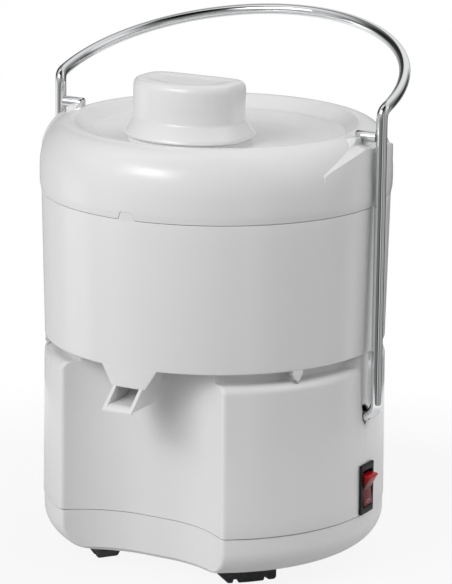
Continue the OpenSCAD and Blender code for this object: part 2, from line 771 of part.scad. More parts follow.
base_housing();
bottom_cover();
feet();
cover_screws();
juice_bowl();
lid();
feed_chute();
food_pusher();
strainer_drum();
grater_disc();
disc_nut();
drive_hub();
motor_shaft();
armature_core();
armature_windings();
commutator();
cooling_fan();
stator_core();
field_coil_left();
field_coil_right();
upper_bearing();
lower_bearing();
upper_bracket();
lower_bracket();
brush_holders();
carbon_brushes();
motor_mounts();
motor_screws();
shaft_seal();
switch_bezel();
switch_rocker();
terminal_block();
suppressor_capacitor();
cord_inlet();
internal_leads();
handle_bail();
latch_pins();
pivot_bush_left();
pivot_bush_right();
pivot_clips();
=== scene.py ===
import json
import math

import bmesh
import bpy
import numpy as np
from bpy.props import FloatProperty, FloatVectorProperty, IntProperty, PointerProperty
from bpy.types import Operator, Panel, PropertyGroup
from mathutils import Matrix, Vector


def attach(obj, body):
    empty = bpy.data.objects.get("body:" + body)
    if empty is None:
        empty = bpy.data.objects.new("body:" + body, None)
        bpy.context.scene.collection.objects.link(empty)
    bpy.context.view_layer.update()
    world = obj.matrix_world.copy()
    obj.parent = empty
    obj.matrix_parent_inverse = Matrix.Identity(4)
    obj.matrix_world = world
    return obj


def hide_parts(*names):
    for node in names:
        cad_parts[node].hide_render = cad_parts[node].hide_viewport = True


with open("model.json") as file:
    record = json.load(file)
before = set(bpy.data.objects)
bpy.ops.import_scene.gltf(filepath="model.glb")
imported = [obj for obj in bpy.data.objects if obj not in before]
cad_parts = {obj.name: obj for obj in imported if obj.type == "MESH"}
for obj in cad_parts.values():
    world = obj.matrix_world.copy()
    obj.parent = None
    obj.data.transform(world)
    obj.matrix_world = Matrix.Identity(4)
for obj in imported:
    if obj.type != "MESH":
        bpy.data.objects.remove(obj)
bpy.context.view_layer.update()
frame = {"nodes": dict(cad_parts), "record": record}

bl_info = {
    "name": "Centrifugal juicer",
    "version": (1, 0, 0),
    "blender": (4, 5, 0),
    "location": "View3D > Sidebar > Juicer",
    "description": "Builds a centrifugal juicer's visible pieces and finishes round its CAD frame",
    "category": "Object",
}

SIDES = ((-1, "left"), (1, "right"))

# Sizes in millimetres, in the frame of the CAD model: _R is a radius, _Z a height, and _X or _Y a
# distance from the middle
MM = 0.001
BODY_R = 110.0
SEAM_Z = 236.0
COVER_SEAM_Z = 38.6
COVER_Z = 11.6
WALL = 2.5
THIN_WALL = 2.3
GAP = 0.3
RECESS_Y = 74.3
RECESS_R = 75.0
RECESS_FLAT = 9.0
BASE_LOW_R = 109.5
BASE_TOP_R = 108.5
LEDGE_Z = 135.0
LEDGE_ROUND = 5.0
NECK_R = 98.0
DECK_Z = 146.5
BOSS_R = 29.0
BOSS_Z = 152.0
SLOT_HALF = 4.2
SLOT_Z = (96.0, 109.5)
SLOT_BEND_Z = (90.0, 116.0)
SIDE_X = 80.0
LUG_ANGLE = 57.5
NOTCH_DEEP = 1.6
COVER_R = 109.0
COVER_ROUND = (18.9, 18.0)
WELL_R = 76.0
BOWL_LOW_Z = 142.8
BOWL_LOW_R = 108.2
BOWL_FLOOR_Z = 146.7
APRON_Z = 130.6
RIM_X = 111.1
CREST = (91.3, 279.4)
DISH_Z = 271.75
SHOULDER_Z = 250.0
LID_POWER = 2.15
TAB_HALF = 3.23
TAB_DEEP = 2.3
CHUTE_LOW_Z = 189.0
PUSHER_A = 35.0
PUSHER_Y = 38.9
BRIM_Z = 275.4
CREASE_Z = 286.0
PUSHER_TOP_Z = 310.9
ROD_R = 3.5
LEG_X = 115.3
PIVOT_Z = 102.35
BEND_R = 8.5
PIN_Z = 279.7
KINK_Z = 297.0
CAM_R = 173.55
SEAT_Y = -4.08
SWITCH_FRONT = 110.9
SWITCH_HALF = (8.4, 16.3)
SWITCH_HOLE = (7.35, 13.05)
SWITCH_MID = 55.3
PIN_X = 107.3
INLET_Z = 58.0
FOOT_R = (66.6, 81.0, 83.4)
FOOT_MID_R = 74.8
FOOT_SPAN = 27.5
FOOT_NOTCHES = (-5.4, 9.0)


# ---------------------------------------------------------------- mesh tools

def smooth(x):
    """Smooth step: 0 below 0, 1 above 1, and 3x^2 - 2x^3 between."""
    x = np.clip(x, 0, 1)
    return x * x * (3 - 2 * x)


def steps(*parts):
    """One run of numbers from (start, end, count) parts that follow each other."""
    return np.concatenate([np.linspace(a, b, n + 1)[i > 0:] for i, (a, b, n) in enumerate(parts)])


def circle(count):
    """Angles that share a full turn evenly."""
    return np.arange(count) * 2 * math.pi / count


def joined(*parts):
    """Arrays or numbers side by side along a new last axis, such as x, y and z."""
    return np.stack(np.broadcast_arrays(*parts), -1)


def polar(radius, angle, z):
    """Points at a radius, an angle about the Z axis and a height: x is r cos a and y is r sin a."""
    return joined(radius * np.cos(angle), radius * np.sin(angle), z)


def turned(profile, angle):
    """Turns a profile of (radius, height) about the Z axis: a row of points for each pair."""
    profile = np.asarray(profile, float)
    return polar(profile[:, :1], angle, profile[:, 1:])


def at_heights(flat, z):
    """Lifts each row of a flat grid to its height."""
    z = np.asarray(z, float)[:, None, None]
    return np.concatenate([flat, np.broadcast_to(z, flat.shape[:2] + (1,))], -1)


def along(points):
    """Distance run along a line up to each of its points: the sum of the steps before it."""
    return np.concatenate([[0], np.cumsum(np.linalg.norm(np.diff(points, axis=0), axis=1))])


def add(name, data):
    """Puts an object that holds the data into the scene."""
    obj = bpy.data.objects.new(name, data)
    bpy.context.scene.collection.objects.link(obj)
    return obj


def shade(obj, sharp):
    """Shades an object smooth, with edges bent over sharp degrees left crisp."""
    obj.data.polygons.foreach_set("use_smooth", np.ones(len(obj.data.polygons), bool))
    obj.data.set_sharp_from_angle(angle=math.radians(sharp))
    return obj


def piece(name, points, quads, tris=(), sharp=32):
    """A mesh object from points in millimetres, quads and triangles."""
    points = np.asarray(points, float).reshape(-1, 3)
    quads = np.asarray(quads, int).reshape(-1, 4)
    tris = np.asarray(tris, int).reshape(-1, 3)
    mesh = bpy.data.meshes.new(name)
    mesh.vertices.add(len(points))
    mesh.vertices.foreach_set("co", (points * MM).ravel())
    corners = np.concatenate([quads.ravel(), tris.ravel()])
    mesh.loops.add(len(corners))
    mesh.loops.foreach_set("vertex_index", corners)
    sizes = np.concatenate([np.full(len(quads), 4), np.full(len(tris), 3)])
    mesh.polygons.add(len(sizes))
    mesh.polygons.foreach_set("loop_start", np.concatenate([[0], np.cumsum(sizes)[:-1]]))
    mesh.update(calc_edges=True)
    mesh.validate()
    return shade(add(name, mesh), sharp)


def facets(name, points, faces):
    """A mesh object from points in millimetres and faces with any number of corners."""
    mesh = bpy.data.meshes.new(name)
    mesh.from_pydata((points * MM).tolist(), [], faces)
    return add(name, mesh)


def grid_quads(rows, cols, close_rows=False, close_cols=True):
    """Quads of a grid of points, as an array with a row and a column for each quad."""
    r = np.arange(rows if close_rows else rows - 1)[:, None]
    c = np.arange(cols if close_cols else cols - 1)[None, :]
    r2, c2 = (r + 1) % rows, (c + 1) % cols
    return joined(r * cols + c, r * cols + c2, r2 * cols + c2, r2 * cols + c)


def skin(name, grid, close_rows=False, low_pole=None, high_pole=None, keep=None, sharp=32):
    """A surface through closed loops of points, one loop a row, with a point where it is capped."""
    rows, cols = grid.shape[:2]
    quads = grid_quads(rows, cols, close_rows)
    if keep is not None:
        quads = quads[keep]
    points, tris = [grid.reshape(-1, 3)], []
    c = np.arange(cols)
    beside = (c + 1) % cols
    if low_pole is not None:
        tris.append(joined(rows * cols, beside, c))
        points.append(np.reshape(low_pole, (1, 3)))
    if high_pole is not None:
        top = (rows - 1) * cols
        tris.append(joined(top + c, top + beside, rows * cols + len(tris)))
        points.append(np.reshape(high_pole, (1, 3)))
    return piece(name, np.concatenate(points), quads, tris, sharp)


def lathe(name, profile, cols):
    """Turns a closed profile of (radius, height) about the Z axis."""
    return skin(name, turned(profile, circle(cols)), close_rows=True)


def curved_plate(name, z, half, cols, front, back):
    """A plate between two upright round faces, of radii front and back, edged all round.

    It reaches half each way from the middle at each height z. Each face is the front half of a
    circle: y is minus the root of r^2 - x^2.
    """
    x = np.linspace(-1, 1, cols) * half[:, None]
    faces = np.array([joined(x, -np.sqrt(r * r - x * x), z[:, None]) for r in (front, back)])
    n = x.size
    quads = grid_quads(len(z), cols, close_cols=False).reshape(-1, 4)
    i = np.arange(n).reshape(x.shape)
    rim = np.concatenate([i[0, :-1], i[:-1, -1], i[-1, :0:-1], i[:0:-1, 0]])
    beside = np.roll(rim, -1)
    edge = joined(beside, rim, rim + n, beside + n)
    return piece(name, faces, np.concatenate([quads, quads[:, ::-1] + n, edge]))


def prism_faces(n, first=0):
    """Faces between two loops of n points each: the two ends, then the sides."""
    c = np.arange(n)
    sides = joined(c, (c + 1) % n, (c + 1) % n + n, c + n)
    return [(first + c[::-1]).tolist(), (first + n + c).tolist()] + (first + sides).tolist()


def prism(name, outline, near, far, place):
    """Carries a flat outline from near to far. place turns (outline, side) into points."""
    outline = np.asarray(outline, float)
    points = np.concatenate([place(outline, near), place(outline, far)])
    return outwards(shade(facets(name, points, prism_faces(len(outline))), 32))


def tube(path, radius, sides, reference):
    """Circles carried along a path, square to it. reference is a way that the path never takes."""
    run = np.gradient(path, axis=0)
    run /= np.linalg.norm(run, axis=1, keepdims=True)
    across = np.cross(run, reference)
    across /= np.linalg.norm(across, axis=1, keepdims=True)
    other = np.cross(run, across)
    u = circle(sides)[None, :, None]
    return path[:, None] + radius * (np.cos(u) * across[:, None] + np.sin(u) * other[:, None])


def modify(obj, kind, sharp, **settings):
    """Makes the result of a modifier with these settings the object's own mesh."""
    mod = obj.modifiers.new(kind, kind)
    for key, value in settings.items():
        setattr(mod, key, value)
    graph = bpy.context.evaluated_depsgraph_get()
    mesh = bpy.data.meshes.new_from_object(obj.evaluated_get(graph))
    obj.modifiers.clear()
    obj.data = mesh
    return shade(obj, sharp)


def bevel(obj, width, segments=2, angle=30):
    """Rounds the edges that are bent over angle degrees."""
    return modify(obj, "BEVEL", 40, width=width * MM, segments=segments, limit_method="ANGLE",
                  angle_limit=math.radians(angle))


def wall_inwards(obj):
    """Gives an open skin its wall, on the inside."""
    return modify(obj, "SOLIDIFY", 32, thickness=THIN_WALL * MM, offset=-1)


def cut(obj, outlines, low, high):
    """Takes upright prisms with these outlines, from low to high, out of a solid."""
    points, faces = np.zeros((0, 3)), []
    for outline in outlines:
        faces += prism_faces(len(outline), len(points))
        both = at_heights(np.array([outline, outline], float), [low, high])
        points = np.concatenate([points, both.reshape(-1, 3)])
    tool = facets("cutter", points, faces)
    modify(obj, "BOOLEAN", 32, operation="DIFFERENCE", solver="EXACT", object=tool)
    bpy.data.objects.remove(tool)
    return obj


def box(x0, x1, y0, y1):
    """Outline of a rectangle."""
    return [(x0, y0), (x1, y0), (x1, y1), (x0, y1)]


def outwards(obj):
    """Turns the faces of a closed mesh outwards."""
    b = bmesh.new()
    b.from_mesh(obj.data)
    bmesh.ops.recalc_face_normals(b, faces=b.faces)
    b.to_mesh(obj.data)
    b.free()
    return obj


def done(obj, body, slot, *nodes, look=None):
    """Gives a piece its body and the finish of its slot, and hides the CAD nodes that it stands
    for.
    """
    obj.data.materials.clear()
    obj.data.materials.append(finish(look or slot))
    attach(obj, body)
    if nodes:
        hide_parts(*nodes)


def moulded(obj, *nodes):
    """Finishes a white moulding of the base."""
    done(obj, "base", "white_plastic", *nodes)


# ---------------------------------------------------------------- shapes

# Directions, in degrees, of the columns of the housing: close together at the bail and at the lugs
SLOT_ANGLE = math.degrees(math.asin(SLOT_HALF / 108.7))
LUG_DIR = -90 + LUG_ANGLE
LUG_HALF = 2.1
LUG_REACH = 4.5
SIDE_ANGLES = steps((90, 10, 32), (10, SLOT_ANGLE, 24), (SLOT_ANGLE, -SLOT_ANGLE, 22),
                    (-SLOT_ANGLE, -10, 24), (-10, LUG_DIR + LUG_REACH, 8),
                    (LUG_DIR + LUG_REACH, LUG_DIR + LUG_HALF, 4),
                    (LUG_DIR + LUG_HALF, LUG_DIR - LUG_HALF, 14),
                    (LUG_DIR - LUG_HALF, LUG_DIR - LUG_REACH, 4))


def body_rows(outer, z, corner, grow=0.0):
    """Level sections of the body: a circle less the glass recess, its two upright edges rounded.

    The recess is two arcs and a flat, moved out by grow. Each edge's arc touches the circle of
    radius outer - corner from inside and the recess's circle grown by corner from outside, so its
    centre is where those two circles cross.
    """
    outer, grow = (np.asarray(v, float).reshape(-1, 1) for v in (outer, grow))
    middle = np.array([RECESS_FLAT, -RECESS_Y - RECESS_R])
    hollow = RECESS_R + grow
    d = np.hypot(*middle)
    ux, uy = middle / d
    ra, rb = outer - corner, hollow + corner
    a = (ra ** 2 - rb ** 2 + d * d) / (2 * d)
    h = np.sqrt(ra ** 2 - a * a)
    fx, fy = a * ux - h * uy, a * uy + h * ux
    first = np.arctan2(fy, fx)
    last = np.arctan2(middle[1] - fy, middle[0] - fx)

    def between(start, end, count):
        """Angles in even steps, for each row, after start and up to end."""
        return start + (end - start) * np.linspace(0, 1, count + 1)[None, 1:]

    fixed = np.radians(SIDE_ANGLES)[None] + 0 * outer
    arc = np.concatenate([fixed, between(fixed[:, -1:], first, 12)], 1)
    edge = between(first, last, 10)
    bow = between(last + math.pi, math.pi / 2, 30)
    flat = np.linspace(RECESS_FLAT, 0, 5)[None, 1:] + 0 * outer
    x = [outer * np.cos(arc), fx + corner * np.cos(edge), middle[0] + hollow * np.cos(bow), flat]
    y = [outer * np.sin(arc), fy + corner * np.sin(edge), middle[1] + hollow * np.sin(bow),
         -RECESS_Y + grow + 0 * flat]
    right = joined(np.concatenate(x, 1), np.concatenate(y, 1))[:, ::-1]
    left = (right * [-1, 1])[:, ::-1][:, 1:-1]
    return at_heights(np.concatenate([right, left], 1), z)


def housing_rows():
    """The housing's side view as (radius, height) rows, and how many of them make its wall."""
    low, high = COVER_SEAM_Z, LEDGE_Z - LEDGE_ROUND
    z = steps((low + 0.5, SLOT_BEND_Z[0], 6), (SLOT_BEND_Z[0], SLOT_Z[0], 8), (*SLOT_Z, 18),
              (SLOT_Z[1], high, 26))
    cone = BASE_LOW_R + (BASE_TOP_R - BASE_LOW_R) * (z - low) / (high - low)
    t = np.radians(np.linspace(10, 90, 9))
    turn = joined(BASE_TOP_R - LEDGE_ROUND * (1 - np.cos(t)),
                  LEDGE_Z - LEDGE_ROUND * (1 - np.sin(t)))
    # Each row is a little higher than the last, so that no face along the recess shuts to a line
    top = [(102.2, 135.05), (100.6, 135.1), (99, 135.2), (98.3, 135.6), (NECK_R, 136.4),
           (NECK_R, 139), (NECK_R, 142.4), (NECK_R, 145.9), (97.4, DECK_Z)]
    rows = [[(109.1, low), (109.4, low + 0.15)], joined(cone, z), turn, top]
    return np.concatenate(rows), 2 + len(z)


def slot_heights(height, across):
    """Heights of the wall's rows, bent round a slot with a rounded top and a pointed bottom.

    The bend fades out beside the slot and, in proportion to height, above and below it.
    """
    (z0, z1), (start, end) = SLOT_Z, SLOT_BEND_Z
    inside = across <= SLOT_HALF
    fade = 1 - smooth((across - SLOT_HALF) / 4)
    low = 4.5 * np.where(inside, across / SLOT_HALF, fade)
    arch = SLOT_HALF - np.sqrt(np.clip(SLOT_HALF ** 2 - across ** 2, 0, None))
    high = np.where(inside, arch, SLOT_HALF * fade)
    plain = height + 0 * across
    return np.select([height < start, height < z0, height <= z1, height < end],
                     [plain, height + low * (height - start) / (z0 - start),
                      z0 + low + (height - z0) / (z1 - z0) * (z1 - z0 - low - high),
                      height - high * (end - height) / (end - z1)], plain)


def raise_post(part, rows, across):
    """Lifts rows of the housing onto a taller path behind each leg.

    Every row goes to the same share of that path's length, by a weight that is 1 at the leg and
    falls off smoothly across it. The first row stays.
    """
    run = along(rows)
    run /= run[-1]
    post = np.array([(106.8, 130), (106.8, 141.2), (105.6, 142.4), (NECK_R, 142.4),
                     (NECK_R, DECK_Z)])
    share = along(post)
    share /= share[-1]
    post_r, post_z = (np.interp(run, share, post[:, i])[:, None] for i in (0, 1))
    reach = np.interp(run, [0, 0.3, 0.55, 1], [2.7, 5.5, 13.5, 13.5])[:, None]
    w = 1 - smooth((across - 4.7) / reach)
    w[0] = 0
    part[..., :2] *= (1 + w * (post_r / np.hypot(part[..., 0], part[..., 1]) - 1))[..., None]
    part[..., 2] += w * (post_z - part[..., 2])


def sink_notches(grid, n_wall):
    """Draws the columns together towards the bottom of each lug's notch and sinks a closed pit."""
    row = np.arange(len(grid))[:, None]
    x, y = grid[..., 0], grid[..., 1]
    off = np.degrees(np.arctan2(y, np.abs(x))) - LUG_DIR
    level = np.interp(row, [n_wall, n_wall + 9, n_wall + 13], [0.2, 0.95, 1.15])
    near = 1 - smooth((np.abs(off) - LUG_HALF) / (LUG_REACH - LUG_HALF))
    near[:n_wall] = 0
    place = polar(np.hypot(x, y), np.radians(LUG_DIR + off * (1 + (level - 1) * near)), 0.0)
    place[..., 0] *= np.sign(x)
    grid[..., :2] = np.where(near[..., None] > 0, place[..., :2], grid[..., :2])
    pit = (np.abs(off) < LUG_HALF - 0.3) & (row >= n_wall + 5) & (row <= n_wall + 10)
    grid[..., 2] -= np.where(pit, NOTCH_DEEP, 0)


def housing_grid(corner):
    """The housing's outside: a slight cone, a rounded shoulder, the ledge, the neck and the deck.

    The wall above each slot is set back in a shallow channel, the slot has a softened lip, an oval
    about its middle, and a fine parting line runs down from it. The second grid says which quads
    stay: all but those inside the slots.
    """
    rows, n_wall = housing_rows()
    grid = body_rows(rows[:, 0], rows[:, 1], corner)
    x, y, z = (grid[..., i] for i in range(3))
    wall = slice(n_wall)
    at_leg = np.abs(x) > SIDE_X
    across = np.where(at_leg, np.abs(y), 99.0)
    z[wall] = np.where(at_leg, slot_heights(rows[:, 1:], across), z)[wall]

    channel = 1.7 * (1 - smooth((across - 4.7) / 2.7)) * smooth((z - 106) / 4.5)
    oval = np.hypot(across / SLOT_HALF, (z - 103.2) / 7.2)
    lip = 0.55 * (1 - smooth((oval - 0.98) / 0.25))
    parting = 0.10 * np.exp(-(across / 0.35) ** 2) * smooth((97 - z) / 4)
    x[wall] -= (np.sign(x) * np.where(at_leg, channel + lip - parting, 0))[wall]
    raise_post(grid[n_wall - 1:], rows[n_wall - 1:], across[n_wall - 1:])
    sink_notches(grid, n_wall)

    def mid(v):
        """Mean of each value and the next one round, on every row but the last."""
        return (v + np.roll(v, -1, 1))[:-1] / 2

    row_mid = (rows[:-1, 1:] + rows[1:, 1:]) / 2
    in_slot = (mid(across) < SLOT_HALF - 0.05) & (mid(np.abs(x)) > SIDE_X)
    keep = ~(in_slot & (row_mid > SLOT_Z[0]) & (row_mid < SLOT_Z[1]))

    # Deck, closing in to the boss round the shaft
    rim = grid[-1, :, :2]
    unit = rim / np.linalg.norm(rim, axis=1, keepdims=True)
    deck = [(BOSS_R, DECK_Z, 0.25), (BOSS_R, DECK_Z, 0.6), (BOSS_R, DECK_Z, 1.0),
            (BOSS_R, BOSS_Z - 0.6, 1.0), (BOSS_R - 0.6, BOSS_Z, 1.0), (14.0, BOSS_Z, 1.0),
            (11.0, BOSS_Z, 1.0)]
    flat = np.array([rim + (unit * r - rim) * share for r, _, share in deck])
    grid = np.concatenate([grid, at_heights(flat, [height for _, height, _ in deck])])
    return grid, np.concatenate([keep, np.ones((len(deck), grid.shape[1]), bool)])


def cover_grid(corner):
    """The cover's outside: its flat underside, then sections that widen by a quarter oval.

    The recess keeps its place, with a small rounded lower edge.
    """
    t = np.radians(np.linspace(0, 90, 17))
    z = np.concatenate([COVER_Z + COVER_ROUND[1] * (1 - np.cos(t)), [33, 37.9, 38.2]])
    outer = np.concatenate([COVER_R - COVER_ROUND[0] * (1 - np.sin(t)),
                            [COVER_R, COVER_R, COVER_R - 0.25]])
    grid = body_rows(outer, z, corner, 1.6 * (1 - smooth((z - COVER_Z) / 2.2)))
    centre = np.array([0, 12.0, COVER_Z])
    inner = np.array([centre + (grid[0] - centre) * f for f in (0.15, 0.5, 0.85, 0.97)])
    return np.concatenate([inner, grid]), centre


def squircle(t, a, b, power):
    """Superellipse at the angles t: x is a times cos t to the power 2 / power, and y likewise."""
    c, s = np.cos(t), np.sin(t)
    return a * np.sign(c) * np.abs(c) ** (2 / power), b * np.sign(s) * np.abs(s) ** (2 / power)


def oval_rows(t, rows):
    """Rows of the pusher's oval at the angles t, from (grow, height) pairs.

    It is an ellipse in front and a flatter superellipse of power 5 behind, moved out by grow.
    """
    rows = np.asarray(rows, float)
    grow = rows[:, :1]
    wide = PUSHER_A + np.where(grow > 0, 0.75, 1) * grow
    behind = np.sin(t)[None] > 0
    back, front = squircle(t[None], wide, 21.7 + grow, 5), squircle(t[None], wide, 24.2 + grow, 2)
    x, y = (np.where(behind, b, f) for b, f in zip(back, front))
    return at_heights(joined(x, y - PUSHER_Y), rows[:, 1])


def even_oval(count):
    """Angles that space the points of the pusher's oval evenly along it."""
    t = np.linspace(0, 2 * math.pi, 4001)
    run = along(oval_rows(t, [(0, 0)])[0])
    return np.interp(np.arange(count) / count * run[-1], run, t)


def lid_shoulder(count, inset=0.0):
    """Superellipse of power LID_POWER from the lid's wall to its crest."""
    t = np.radians(np.linspace(0, 90, count))
    r = CREST[0] + (RIM_X - CREST[0] - inset) * np.cos(t) ** (2 / LID_POWER)
    z = SHOULDER_Z + (CREST[1] - SHOULDER_Z - inset) * np.sin(t) ** (2 / LID_POWER)
    return joined(r, z)


def raised(base, *rows):
    """(radius, height) rows whose heights count from a base."""
    return np.array(rows) + [0, base]


def lid_grid():
    """The lid as one closed skin: up its wall, over the crest, to the mouth, and back inside.

    A closed pit in the lower edge takes the bowl's tab. Columns beside it lean in towards its top.
    """
    offsets = steps((0, TAB_HALF, 12), (TAB_HALF, 6, 8), (6, 12, 6), (12, 180, 84))
    angle = np.radians(-90 + np.concatenate([-offsets[:0:-1], offsets[:-1]]))
    outside = [raised(SEAM_Z, (109.9, 0.05), (110.25, 0.3), (110.35, 1), (110.6, 2.4),
                      (110.85, 3.7), (111.0, 5), (RIM_X, 7.5), (RIM_X, 11)),
               lid_shoulder(30),
               [(90.4, 279.36), (89.5, 279.2), (88.9, 278.95), (88.4, 278.55), (82.1, 272.6),
                (81.3, 272.0), (80.4, DISH_Z), (79, DISH_Z)]]
    mouth = [(6.4, DISH_Z), (4.3, DISH_Z + 0.15), (4.0, DISH_Z + 0.6), (4.0, BRIM_Z - 1.0),
             (3.6, BRIM_Z - 0.4), (-1.6, BRIM_Z - 0.4), (-2.0, BRIM_Z - 0.8), (-2.1, BRIM_Z - 1.4),
             (-2.1, DISH_Z - WALL), (6, DISH_Z - WALL)]
    inside = [[(79, DISH_Z - WALL), (82.5, DISH_Z - WALL + 0.6), (87, 275.5)],
              lid_shoulder(16, WALL)[::-1],
              raised(SEAM_Z, (RIM_X - WALL, 4), (107.2, 3), (105.2, 3), (105.2, -7.6), (105.6, -8),
                     (106.8, -8), (107.2, -7.6), (107.2, 0))]
    outside, inside = (turned(np.concatenate(rows), angle) for rows in (outside, inside))
    grid = np.concatenate([outside, oval_rows(angle, mouth), inside])
    off = np.degrees(angle) + 90
    lean = np.interp(grid[..., 2], [SEAM_Z, SEAM_Z + 5, SEAM_Z + 12], [0, 1.2, 0])
    near = 1 - smooth((np.abs(off) - TAB_HALF) / 6)
    shift = np.radians(-np.sign(off) * np.minimum(np.abs(off) / TAB_HALF, 1) * near) * lean
    shift[len(outside):] = 0
    c, s = np.cos(shift), np.sin(shift)
    x, y = grid[..., 0], grid[..., 1]
    grid[..., :2] = joined(x * c - y * s, x * s + y * c)
    pit = (np.abs(off) < TAB_HALF) & (np.arange(len(grid))[:, None] < 5)
    grid[..., :2] *= np.where(pit, 1 - TAB_DEEP / BODY_R, 1)[..., None]
    return grid


def lid_cam(s, name):
    """A raised cam: a wedge climbs along the lid's edge, and a block inside it holds the pin.

    Behind the pin's seat both fall away on a circle round the bail's pivot, so the pin clears them
    as the bail swings. The side view runs through straight stretches up to there.
    """
    y = np.concatenate([np.linspace(-46, -14, 33), [-13, -12.5, -12, -11.5, -11, -10.4, -9.5, -6,
                                                    -5, -4.5, -4.2, -4.1, -4.05],
                        np.linspace(-3.6, 48, 45)])
    behind = y > SEAT_Y
    fall = PIVOT_Z + np.sqrt(CAM_R ** 2 - y ** 2)
    rise = np.interp(y, [-47, -44, -13, -11, -10.2, -4.7, -4.3, -4.1],
                     [258, 262, 276.6, 279.3, 279.8, 279.8, 279.5, 278.9])
    climb = np.interp(y, [-48, -40.5, -31, -21, -10.5, -4.1], [261, 265, 268.5, 271.5, 274, 273.6])
    wedge = np.where(behind, fall - 3, climb)
    block = np.maximum(np.where(behind, fall, rise), wedge + 2)
    rim, inner = 110.8, np.where(behind, 99.8, 97.5)
    section = [(inner, 262), (rim, 252), (rim, wedge - 0.6), (rim - 0.2, wedge - 0.15),
               (rim - 0.7, wedge), (104.4, wedge + 1.6), (104, wedge + 1.9), (103.8, block - 0.5),
               (103.3, block), (inner + 1.2, block), (inner + 0.3, block - 0.4),
               (inner, block - 1.4)]
    grid = np.stack([joined(s * np.sqrt(r * r - y * y), y, z) for r, z in section], 1)
    if s > 0:
        grid = grid[:, ::-1]
    return capped(name, grid, 38)


def capped(name, grid, sharp):
    """A closed skin whose first and last loops shut to their own middles."""
    low, high = grid[0].mean(0), grid[-1].mean(0)
    return outwards(skin(name, grid, low_pole=low, high_pole=high, sharp=sharp))


def bail_path():
    """Middle line of the bail: in from a side, round a bend, up the leg and over half an oval.

    The oval leans back from the kinks at the tops of the legs. A running mean along the line, with
    a Hann window, eases those kinks.
    """
    lean = math.radians(72)
    wide, long, mid = 116.6, 111.8, 5.5
    inner = joined(np.linspace(88, LEG_X - BEND_R, 12), 0, PIVOT_Z)
    t = np.radians(np.linspace(0, 90, 24)[1:])
    bend = joined(LEG_X - BEND_R + BEND_R * np.sin(t), 0, PIVOT_Z + BEND_R * (1 - np.cos(t)))
    leg = joined(LEG_X, 0, np.linspace(PIVOT_Z + BEND_R, KINK_Z, 120)[1:])
    u = np.linspace(-math.asin(mid / long), math.pi / 2, 150)[1:]
    w = mid + long * np.sin(u)
    bow = joined(wide * np.cos(u), w * math.sin(lean), KINK_Z + w * math.cos(lean))
    half = np.concatenate([inner, bend, leg, bow])
    run = along(half)
    even = np.arange(0, run[-1], 0.75)
    half = joined(*(np.interp(even, run, line) for line in half.T))
    window = np.hanning(25)[1:-1]
    window /= window.sum()
    mean = joined(*(np.convolve(line, window, "same") for line in half.T))
    from_kink = np.abs(half[:, 2] - KINK_Z) + np.abs(half[:, 1])
    half = half + (mean - half) * (1 - smooth((from_kink - 14) / 10))[:, None]
    return np.concatenate([half, (half * [-1, 1, 1])[::-1]])


def rounded_loop(x, half_w, half_h, radius):
    """A rectangle with quarter-circle corners, square to X and level with the switch."""
    t = np.radians(np.linspace(0, 90, 6))
    y, z = np.concatenate([[sx * (half_w - radius) + radius * np.cos(t + k * math.pi / 2),
                            sy * (half_h - radius) + radius * np.sin(t + k * math.pi / 2)]
                           for k, (sx, sy) in enumerate(((1, 1), (-1, 1), (-1, -1), (1, -1)))], 1)
    return joined(x, y, SWITCH_MID + z)


def spout_trough():
    """The spout: a channel whose upright section, a square U, is carried along its side view."""
    reach = steps((84, 85.1, 2), (85.1, 89.9, 5), (89.9, 95.9, 5), (95.9, 106.8, 6))
    reach = np.append(reach, [107.5, 108.3, 111, 114, 117, 119.6, 119.7, 120.2, 121])
    under = np.interp(reach, [84, 85.1, 89.9, 95.9, 119.6, 119.7, 121],
                      [135, 127.6, 121.8, 119.4, 118.93, 117.7, 117.7])
    lip = np.interp(reach, [84, 106.8, 107.5, 108.3, 121], [141.9, 141.9, 131.4, 130.6, 118.95])
    bed = np.interp(reach, [84, 86.5, 88, 92, 97, 121], [138, 136, 129, 124, 121.9, 121.3])
    bed = np.minimum(bed, lip)
    out, inn, mid = 10.3, 8.0, (under + lip) / 2
    section = [(-out, lip), (-out, mid), (-out, under), (0, under), (out, under), (out, mid),
               (out, lip), (inn, lip), (inn, bed), (0, bed), (-inn, bed), (-inn, lip)]
    loops = np.stack([joined(x, -reach, z) for x, z in section], 1)
    rows, cols = loops.shape[:2]
    end = np.array([[0, 1, 10, 11], [1, 2, 3, 10], [3, 4, 9, 10], [4, 5, 8, 9], [5, 6, 7, 8]])
    quads = grid_quads(rows, cols).reshape(-1, 4)
    quads = np.concatenate([quads, end[:, ::-1], end + (rows - 1) * cols])
    return outwards(piece("spout_trough", loops, quads))


def bowl_lug(s, name):
    """A wedge that points down from the bowl's edge, on the bowl's own curve."""
    outline = [(-3.1, 140.2), (-1.6, 137.2), (-0.9, 136.4), (0, 136.1), (0.9, 136.4), (1.6, 137.2),
               (3.1, 140.2), (3.6, 144), (-3.6, 144)]
    a = math.radians(s * LUG_ANGLE)

    def place(o, r):
        """Wraps the outline onto a circle of radius r and turns it to the lug's angle."""
        x, y = o[:, 0], -np.sqrt(r * r - o[:, 0] ** 2)
        return joined(x * math.cos(a) - y * math.sin(a), x * math.sin(a) + y * math.cos(a), o[:, 1])

    return prism(name, outline, 100.5, 108.0, place)


def foot_edges():
    """Places along a foot of the middles of its two notches, in millimetres from its near end."""
    return [(FOOT_SPAN / 2 + turn) * FOOT_MID_R * math.pi / 180 for turn in FOOT_NOTCHES]


